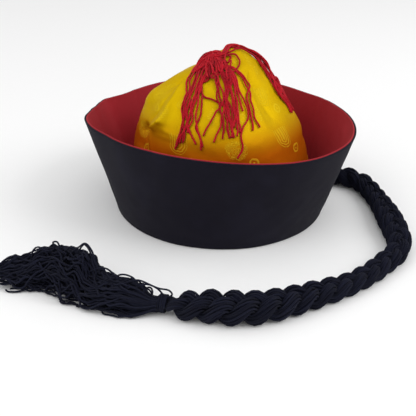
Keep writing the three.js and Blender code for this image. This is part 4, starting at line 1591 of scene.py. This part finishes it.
@dataclass(frozen=True)
class PlaitRoute:
    """The line that the plait follows on the floor, and its girth along it."""

    # Across, away from the camera and girth, in mm and as a share
    rows: tuple[Point, ...] = (
        (102.8, 39.1, 0.8),
        (111.3, 36.8, 0.81),
        (119.9, 33.6, 0.82),
        (127.9, 29.5, 0.8),
        (134.5, 22.5, 0.75),
        (138.8, 8.8, 0.73),
        (141.8, -9.7, 0.73),
        (143.6, -30.6, 0.79),
        (144.3, -53.8, 0.88),
        (144.6, -74.6, 0.87),
        (143.4, -94.8, 0.79),
        (135.3, -112.2, 0.71),
        (123.2, -125.8, 0.69),
        (109.8, -140.1, 0.67),
        (93.7, -153.1, 0.69),
        (75.0, -165.0, 0.78),
        (54.3, -176.1, 0.87),
        (33.1, -186.2, 0.96),
        (12.0, -190.3, 1.02),
        (-8.2, -188.1, 0.98),
        (-23.5, -186.2, 0.87),
        (-37.0, -182.6, 0.74),
    )
    height: float = 10.2
    fine: int = 800

    def points(self) -> Array:
        """The route's points in metres, at the plait's middle."""
        return np.array([(x, y, self.height * girth) for x, y, girth in self.rows]) * MM

    def line(self, count: int) -> Array:
        """The route as a smooth line of so many points."""
        return smooth_curve(self.points(), count)

    def length(self) -> float:
        """The route's length in metres."""
        return float(np.linalg.norm(np.diff(self.line(self.fine), axis=0), axis=1).sum())

    def end(self, last: bool) -> tuple[Array, Array]:
        """One end of the route.

        Args:
            last: True for the tie's end, False for the start at the brim.

        Returns:
            The end point and the level direction that the route has there.
        """
        line = self.line(self.fine)
        here, beside = (line[-1], line[-2]) if last else (line[1], line[0])
        heading = (here - beside) * np.array([1.0, 1.0, 0.0])
        return (line[-1] if last else line[0]), unit(heading)


@dataclass(frozen=True)
class Plait:
    """The three-strand plait of black yarn, its bound start, its tie and its tuft."""

    route: PlaitRoute
    brim: BrimForm
    seed: int = 11
    tone_seed: int = 12
    anchor_seed: int = 31
    tie_seed: int = 32
    strands: int = 3
    strand_radius: float = 5.6
    sway: float = 6.6
    rise: float = 5.1
    pitch: float = 47.0
    outer_yarns: int = 15
    outer_reach: float = 0.84
    inner_yarns: int = 7
    inner_reach: float = 0.44
    drift: float = 0.16
    drift_turns: float = 9.0
    breathe: float = 0.045
    breathe_turns: float = 12.0
    lean: float = 0.6
    core_share: float = 0.6
    yarn: float = 0.78 * MM
    yarn_sides: int = 5
    core_sides: int = 8
    above_floor: float = 0.1 * MM
    steps: int = 210
    diameter: float = 0.021
    path_steps: int = 120
    start_slim: float = 0.86
    end_slim: float = 0.62
    slim_length: float = 14.0
    anchor_radius: float = 8.3
    anchor_length: float = 26.0
    anchor_lap: float = 8.0
    tie_radius: float = 6.8
    tie_length: float = 9.0
    gap: float = 0.3
    # The turns of the binding and the tie, their small unevenness and the core in them
    turn_overlap: float = 0.97
    turn_sides: int = 22
    turn_tone: float = 0.3
    turn_above_floor: float = 0.3 * MM
    wobble: float = 0.12 * MM
    wobble_rate: float = 0.37
    swell: float = 0.1 * MM
    swell_rate: float = 0.61
    core_shape: tuple[float, ...] = (0.2, 0.92, 1.0, 1.0, 1.0, 1.0, 0.92, 0.2)
    core_end: float = 0.3
    core_depth: float = 1.5
    core_round: int = 20

    def slim(self, travelled: Array) -> Array:
        """How much the plait is drawn in near its bound start and its tie."""
        total = travelled[-1]
        length = self.slim_length * MM
        start = self.start_slim + (1 - self.start_slim) * smoothstep(travelled, 0, length)
        end = self.end_slim + (1 - self.end_slim) * smoothstep(total - travelled, 0, length)
        return np.minimum(start, end)

    def strand_lines(self) -> tuple[Array, Array, Array]:
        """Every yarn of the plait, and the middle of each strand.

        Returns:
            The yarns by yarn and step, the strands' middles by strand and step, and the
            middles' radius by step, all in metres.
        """
        rng = np.random.default_rng(self.seed)
        line = self.route.line(self.steps)
        travelled = travel(line)
        sideways = unit(np.cross(UP, np.gradient(line, axis=0)))
        size = self.slim(travelled) * line[:, 2] / (self.route.height * MM)
        along = travelled / travelled[-1]
        layers = ((self.outer_yarns, self.outer_reach), (self.inner_yarns, self.inner_reach))
        seats = np.concatenate([TURN * np.arange(count) / count for count, _ in layers])
        reach = np.concatenate([np.full(count, share) for count, share in layers])
        lines, cores = [], []
        for strand in range(self.strands):
            phase = TURN * (travelled / (self.pitch * MM) + strand / self.strands)
            core = (
                line
                + sideways * (self.sway * MM * np.sin(phase) * size)[:, None]
                + UP * (self.rise * MM * np.sin(2.0 * phase) * size)[:, None]
            )
            cores.append(core)
            heading = unit(np.gradient(core, axis=0))
            flat = unit(np.cross(UP, heading))
            over = np.cross(heading, flat)
            drift = Wander(rng, len(seats)).along(along, self.drift_turns)
            breathe = Wander(rng, len(seats)).along(along, self.breathe_turns)
            angle = seats[:, None] + self.drift * drift + self.lean * np.sin(phase)
            radius = reach[:, None] * (1.0 + self.breathe * breathe) * self.strand_radius * size * MM
            lines.append(
                core
                + flat * (radius * np.cos(angle))[..., None]
                + over * (radius * np.sin(angle))[..., None]
            )
        every = np.concatenate(lines)
        every[..., 2] = np.maximum(every[..., 2], self.yarn + self.above_floor)
        return every, np.stack(cores), self.core_share * self.strand_radius * size * MM

    def plait(self) -> Object:
        """Builds the plait itself, all its yarns in one piece."""
        lines, cores, core_radius = self.strand_lines()
        tones = yarn_tones(np.random.default_rng(self.tone_seed), len(lines))
        surface = yarns(lines, self.yarn, tones, self.yarn_sides)
        packed = yarns(cores, core_radius, np.zeros(len(cores)), self.core_sides)
        return hand_in(surface.joined(packed), "plait_yarns", BLACK_YARN, "braid")

    def wound(self, last: bool, radius: float, start: float, length: float, seed: int) -> Surface:
        """Turns of yarn wound round the plait's end over a plain core.

        Args:
            last: True at the tie's end, False at the start.
            radius: The outer radius in millimetres.
            start: Where the turns start along the heading, from the end point.
            length: How far they go, in millimetres.
            seed: The seed of the small unevenness.

        Returns:
            The turns and the core as one surface.
        """
        rng = np.random.default_rng(seed)
        place, heading = self.route.end(last)
        sideways = unit(np.cross(UP, heading))
        pitch = 2.0 * self.yarn * self.turn_overlap
        turns = int((length * MM - 2.0 * self.yarn) / pitch)
        angle = TURN * np.arange(turns * self.turn_sides + 1) / self.turn_sides
        along = (start * MM + self.yarn) + pitch * angle / TURN
        wobble = self.wobble * np.sin(angle * self.wobble_rate + rng.uniform(0, TURN))
        reach = radius * MM - self.yarn + self.swell * np.sin(angle * self.swell_rate)
        outward = sideways * np.cos(angle)[:, None] + UP * np.sin(angle)[:, None]
        coil = place + heading * (along + wobble)[:, None] + outward * reach[:, None]
        wound = yarns(self.clear_of_brim(coil, self.yarn)[None], self.yarn, np.array([self.turn_tone]))
        wound.points[:, 2] = np.maximum(wound.points[:, 2], self.turn_above_floor)
        shape = np.array(self.core_shape)
        inside = start + np.linspace(self.core_end, length - self.core_end, len(shape))
        core_line = place + heading * inside[:, None] * MM
        core_radius = shape * (radius - self.core_depth * self.yarn / MM) * MM
        core = yarns(core_line[None], core_radius, np.array([1.0]), self.core_round)
        core.points = self.clear_of_brim(core.points, 0.0)
        return wound.joined(core)

    def clear_of_brim(self, points: Array, clearance: float) -> Array:
        """Moves points that lie inside the brim out to its cloth, with a clearance."""
        brim = self.brim
        angle = np.arctan2(points[:, 1], points[:, 0])
        share = (points[:, 2] - brim.roll_height) / (brim.rim_height - brim.roll_height)
        half = np.array([brim.hem_half_width, brim.hem_half_depth]) + brim.roll_spread
        low = np.stack([np.cos(angle), np.sin(angle)], -1) * half
        wall = low + (brim.rim(angle)[:, :2] - low) * np.clip(share, 0, 1)[:, None]
        plan = np.hypot(points[:, 0], points[:, 1])
        least = np.hypot(wall[:, 0], wall[:, 1]) + clearance + self.gap * MM
        scale = np.maximum(1.0, least / plan)
        return np.column_stack([points[:, :2] * scale[:, None], points[:, 2]])

    def anchor(self) -> Object:
        """Builds the bound start against the brim."""
        start, length = -self.anchor_length - self.gap, self.anchor_length + self.anchor_lap
        surface = self.wound(False, self.anchor_radius, start, length, self.anchor_seed)
        return hand_in(surface, "plait_binding", BLACK_YARN, "braid_anchor")

    def tie(self) -> Object:
        """Builds the tie's turns, past the plait's end."""
        surface = self.wound(True, self.tie_radius, self.gap, self.tie_length, self.tie_seed)
        return hand_in(surface, "plait_tie", BLACK_YARN, "braid_tie")

    def build(self) -> list[Object]:
        """Returns:
            The plait, its binding, its tie and its tuft.
        """
        plait = self.plait()
        binding, tie = self.anchor(), self.tie()
        tuft = Tuft(self.route).build()
        points = self.route.points()
        round(self.route.length(), 3)
        self.route.line(self.path_steps).tolist()
        return [plait, binding, tie, tuft]


@dataclass(frozen=True)
class Tuft:
    """The loose yarn ends past the tie, crimped and looped."""

    route: PlaitRoute
    seed: int = 17
    # The tuft's middle line, across and away from the camera
    axis: tuple[Pair, ...] = (
        (-44.0, -183.2), (-53.0, -181.5), (-66.0, -176.0), (-84.0, -167.0), (-101.0, -156.0),
        (-119.0, -147.5), (-140.0, -143.5), (-165.0, -144.5),
    )
    # The share of the length, then the heap's height and its reach to the front and back, in mm
    rows: tuple[tuple[float, float, float, float], ...] = (
        (0.00, 12.7, 5.2, 5.2),
        (0.04, 15.5, 7.5, 8.0),
        (0.07, 18.8, 9.5, 9.0),
        (0.12, 20.6, 12.0, 11.0),
        (0.18, 21.4, 14.0, 13.5),
        (0.25, 20.6, 16.5, 15.0),
        (0.33, 18.8, 18.5, 16.5),
        (0.40, 19.2, 18.5, 17.5),
        (0.43, 25.0, 18.0, 18.0),
        (0.46, 30.0, 18.5, 19.0),
        (0.50, 30.0, 20.0, 20.5),
        (0.56, 30.4, 18.7, 21.0),
        (0.62, 30.4, 16.2, 21.0),
        (0.68, 28.0, 13.8, 20.5),
        (0.74, 26.4, 14.6, 19.5),
        (0.79, 22.0, 15.6, 18.0),
        (0.86, 18.0, 15.8, 16.5),
        (0.92, 17.0, 15.2, 15.0),
        (1.00, 12.8, 13.5, 13.0),
    )
    # Loose loops that stand above the tuft: across, away and up, in mm
    loops: tuple[tuple[Point, ...], ...] = (
        ((-112, -153, 22), (-107, -153, 31), (-101, -156, 37), (-96, -158, 41), (-91.5, -161, 37),
         (-89, -163, 28), (-86, -165, 20)),
        ((-108, -152, 24), (-102, -155, 33), (-97, -157, 39.5), (-93, -160, 36), (-90.5, -163, 27),
         (-88, -166, 18)),
        ((-104, -151, 26), (-100, -154, 31), (-96, -157, 30), (-95, -160, 24), (-98, -163, 19)),
        ((-118, -147, 27), (-121.6, -146.8, 35), (-118.5, -147.5, 36), (-116, -148.5, 30),
         (-112, -152, 22)),
        ((-116, -149, 26), (-110, -152, 33), (-106.8, -153.2, 35.5), (-103, -155, 30), (-100, -158, 22)),
        ((-140, -143, 18), (-137, -144, 27), (-133, -145, 30), (-128, -146, 27), (-124, -148, 20)),
        ((-60, -180, 19), (-52, -181.5, 23), (-43, -182, 20), (-36.5, -182, 18.5), (-34.5, -182, 15),
         (-39, -182.5, 12)),
        ((-66, -177, 21), (-58, -179.5, 25), (-50, -181.5, 23), (-44, -182, 19.5), (-40, -182, 14)),
        ((-78, -171, 18), (-70.3, -173.7, 25.5), (-62, -177.5, 26), (-55, -181, 19)),
        ((-94, -162, 20), (-86.8, -165, 25), (-80, -169, 27), (-72, -174, 22)),
        ((-165, -145, 6), (-160, -144, 17), (-153, -144, 21.5), (-147, -144, 20), (-141, -145, 14)),
        ((-163, -142, 5), (-158, -141, 14), (-151, -141, 18), (-144, -142, 12)),
    )
    yarn: float = 0.68 * MM
    yarn_sides: int = 5
    above_floor: float = 0.2
    axis_steps: int = 400
    count: int = 150
    steps: int = 90
    ends: Pair = (0.84, 1.03)
    reaches: Pair = (0.1, 1.0)
    crowding: float = 0.45
    least_round: float = 0.05
    edge: float = 0.98
    waves: int = 3
    loose_from: Pair = (0.05, 0.3)
    drift_across: float = 0.13
    drift_level: float = 0.10
    drift_turns: float = 1.6
    crimp: float = 1.25 * MM
    crimp_turns: float = 3.6
    crimp_lift: float = 0.7
    crimp_lift_turns: float = 3.3
    start_radius: float = 5.2
    grown_by: float = 0.11
    loop_steps: int = 44
    curls: int = 78
    curl_sizes: Pair = (2.0, 5.0)
    curl_shape: Pair = (1.25, 0.75)
    curl_arc: float = 0.97
    curl_lean: float = 0.35
    curl_waver: float = 0.4
    curl_waver_turns: float = 2.0
    curl_places: Pair = (0.05, 0.8)
    curl_end_places: Pair = (0.76, 1.0)
    curl_across: Pair = (-0.35, 0.75)
    curl_level: float = 0.93
    curl_end_from: float = 0.78
    curl_end_levels: Pair = (0.45, 1.0)
    curl_ahead: float = 0.01

    def section(self, share: Array) -> tuple[Array, Array, Array]:
        """The heap's height, its middle and its half width at shares of the length, in millimetres."""
        table = np.array(self.rows)
        height, front, back = (smooth_table(table[:, 0], column, share) for column in table.T[1:])
        return height, (back - front) / 2.0, (back + front) / 2.0

    def place(self, share: Array, across: Array, level: Array) -> Array:
        """Places in the heap.

        Args:
            share: Shares of the tuft's length, which may go a little past 1.
            across: From -1 at the heap's front edge to 1 at its back.
            level: From 0 at the floor to 1 at the heap's top.

        Returns:
            The points in metres.
        """
        line = smooth_curve(np.array([(x, y, 0.0) for x, y in self.axis]) * MM, self.axis_steps)
        inside = np.clip(share, 0.0, 1.0)
        at = inside * (len(line) - 1)
        heading = unit(np.gradient(line, axis=0))[np.minimum(at.astype(int), len(line) - 2)]
        length = float(np.linalg.norm(np.diff(line, axis=0), axis=1).sum())
        middle = between(line, at) + heading * ((share - inside) * length)[..., None]
        height, centre, half = (column.reshape(share.shape) for column in self.section(inside.ravel()))
        top = height * np.sqrt(np.maximum(0.0, 1.0 - across**2))
        least = self.yarn / MM + self.above_floor
        rise = least + np.maximum(0.0, top - least) * level
        away = np.cross(heading, UP)
        return middle + away * ((centre + half * across) * MM)[..., None] + UP * (rise * MM)[..., None]

    def wander(self, rng: Random, along: Array, turns: float) -> Array:
        """A drift of each long yarn."""
        return Wander(rng, self.count, self.waves).along(along, turns)

    def off_floor(self, points: Array) -> Array:
        """Lifts yarns that would lie in the floor."""
        points[..., 2] = np.maximum(points[..., 2], self.yarn + self.above_floor * MM)
        return points

    def yarn_lines(self, rng: Random) -> Array:
        """The yarns from the tie to the tuft's end, by yarn and step, in metres."""
        along = np.linspace(0.0, 1.0, self.steps)
        share = along[None] * rng.uniform(*self.ends, self.count)[:, None]
        seat = rng.uniform(0.0, TURN, self.count)
        reach = rng.uniform(*self.reaches, self.count) ** self.crowding
        across, over = (reach * np.cos(seat))[:, None], (reach * np.sin(seat))[:, None]
        level = 0.5 + 0.5 * over / np.sqrt(np.maximum(self.least_round, 1.0 - across**2))
        loose = smoothstep(along, *self.loose_from)
        drift_across = self.drift_across * self.wander(rng, along, self.drift_turns) * loose
        drift_level = self.drift_level * self.wander(rng, along, self.drift_turns) * loose
        drifted = np.clip(across + drift_across, -self.edge, self.edge)
        spread = self.place(share, drifted, np.clip(level + drift_level, 0.0, 1.0))
        line = self.place(share, np.zeros_like(share), np.zeros_like(share))
        bunch = line.copy()
        bunch[..., 2] = self.route.points()[-1, 2]
        away = np.cross(unit(np.gradient(line, axis=1)), UP)
        radius = self.start_radius * MM
        bunch += away * (across * radius)[..., None] + UP * (over * radius)[..., None]
        grown = smoothstep(share, 0.0, self.grown_by)[..., None]
        points = bunch * (1.0 - grown) + spread * grown
        curl = self.wander(rng, along, self.crimp_turns) * self.crimp * loose
        lift = self.wander(rng, along, self.crimp_lift_turns) * self.crimp * self.crimp_lift * loose
        points += away * curl[..., None] + UP * lift[..., None]
        return self.off_floor(points)

    def curl_lines(self, rng: Random) -> Array:
        """Curls of yarn that stand out of the heap's top and its loose end."""
        along = rng.uniform(*self.curl_places, self.curls // 2)
        share = np.concatenate([along, rng.uniform(*self.curl_end_places, self.curls - len(along))])
        across = rng.uniform(*self.curl_across, self.curls)
        end_level = rng.uniform(*self.curl_end_levels, self.curls)
        level = np.where(share > self.curl_end_from, end_level, self.curl_level)
        middle = self.place(share, across, level)
        heading = unit(self.place(share + self.curl_ahead, across, level) - middle)
        size = rng.uniform(*self.curl_sizes, (2, self.curls)) * np.array(self.curl_shape)[:, None] * MM
        first = rng.uniform(0.0, TURN, self.curls)[:, None]
        turn = first + np.linspace(0.0, TURN * self.curl_arc, self.loop_steps)
        rising = unit(UP + rng.normal(0.0, self.curl_lean, (self.curls, 3)))
        points = (
            middle[:, None]
            + heading[:, None] * (size[0][:, None] * np.cos(turn))[..., None]
            + rising[:, None] * (size[1][:, None] * np.sin(turn))[..., None]
        )
        steps = np.linspace(0, 1, self.loop_steps)
        waver = Wander(rng, self.curls, self.waves).along(steps, self.curl_waver_turns)
        return self.off_floor(points + waver[..., None] * self.curl_waver * MM)

    def build(self) -> Object:
        """Builds and dresses the tuft, all its yarns in one piece."""
        rng = np.random.default_rng(self.seed)
        long = self.yarn_lines(rng)
        loops = np.array([smooth_curve(np.array(loop) * MM, self.loop_steps) for loop in self.loops])
        short = np.concatenate([loops, self.curl_lines(rng)])
        surface = yarns(long, self.yarn, yarn_tones(rng, len(long)), self.yarn_sides)
        surface = surface.joined(yarns(short, self.yarn, yarn_tones(rng, len(short)), self.yarn_sides))
        return hand_in(surface, "tuft_yarns", BLACK_YARN, "braid_tuft")


def main() -> None:
    """Builds the camera, the cord and the rest of the hat in order."""
    logging.basicConfig(level=logging.INFO, format="%(message)s")
    studio = Studio()
    studio.camera()
    brim_form = BrimForm()
    crown_form = CrownForm()
    pieces = Plait(PlaitRoute(), brim_form).build() + Brim(brim_form).build()
    pieces += [Crown(crown_form).build(), Tassel(crown_form).build()]
    LOG.info("%d pieces: %s", len(pieces), ", ".join(piece.name for piece in pieces))
    studio.floor()
    studio.light()


if __name__ == "__main__":
    main()
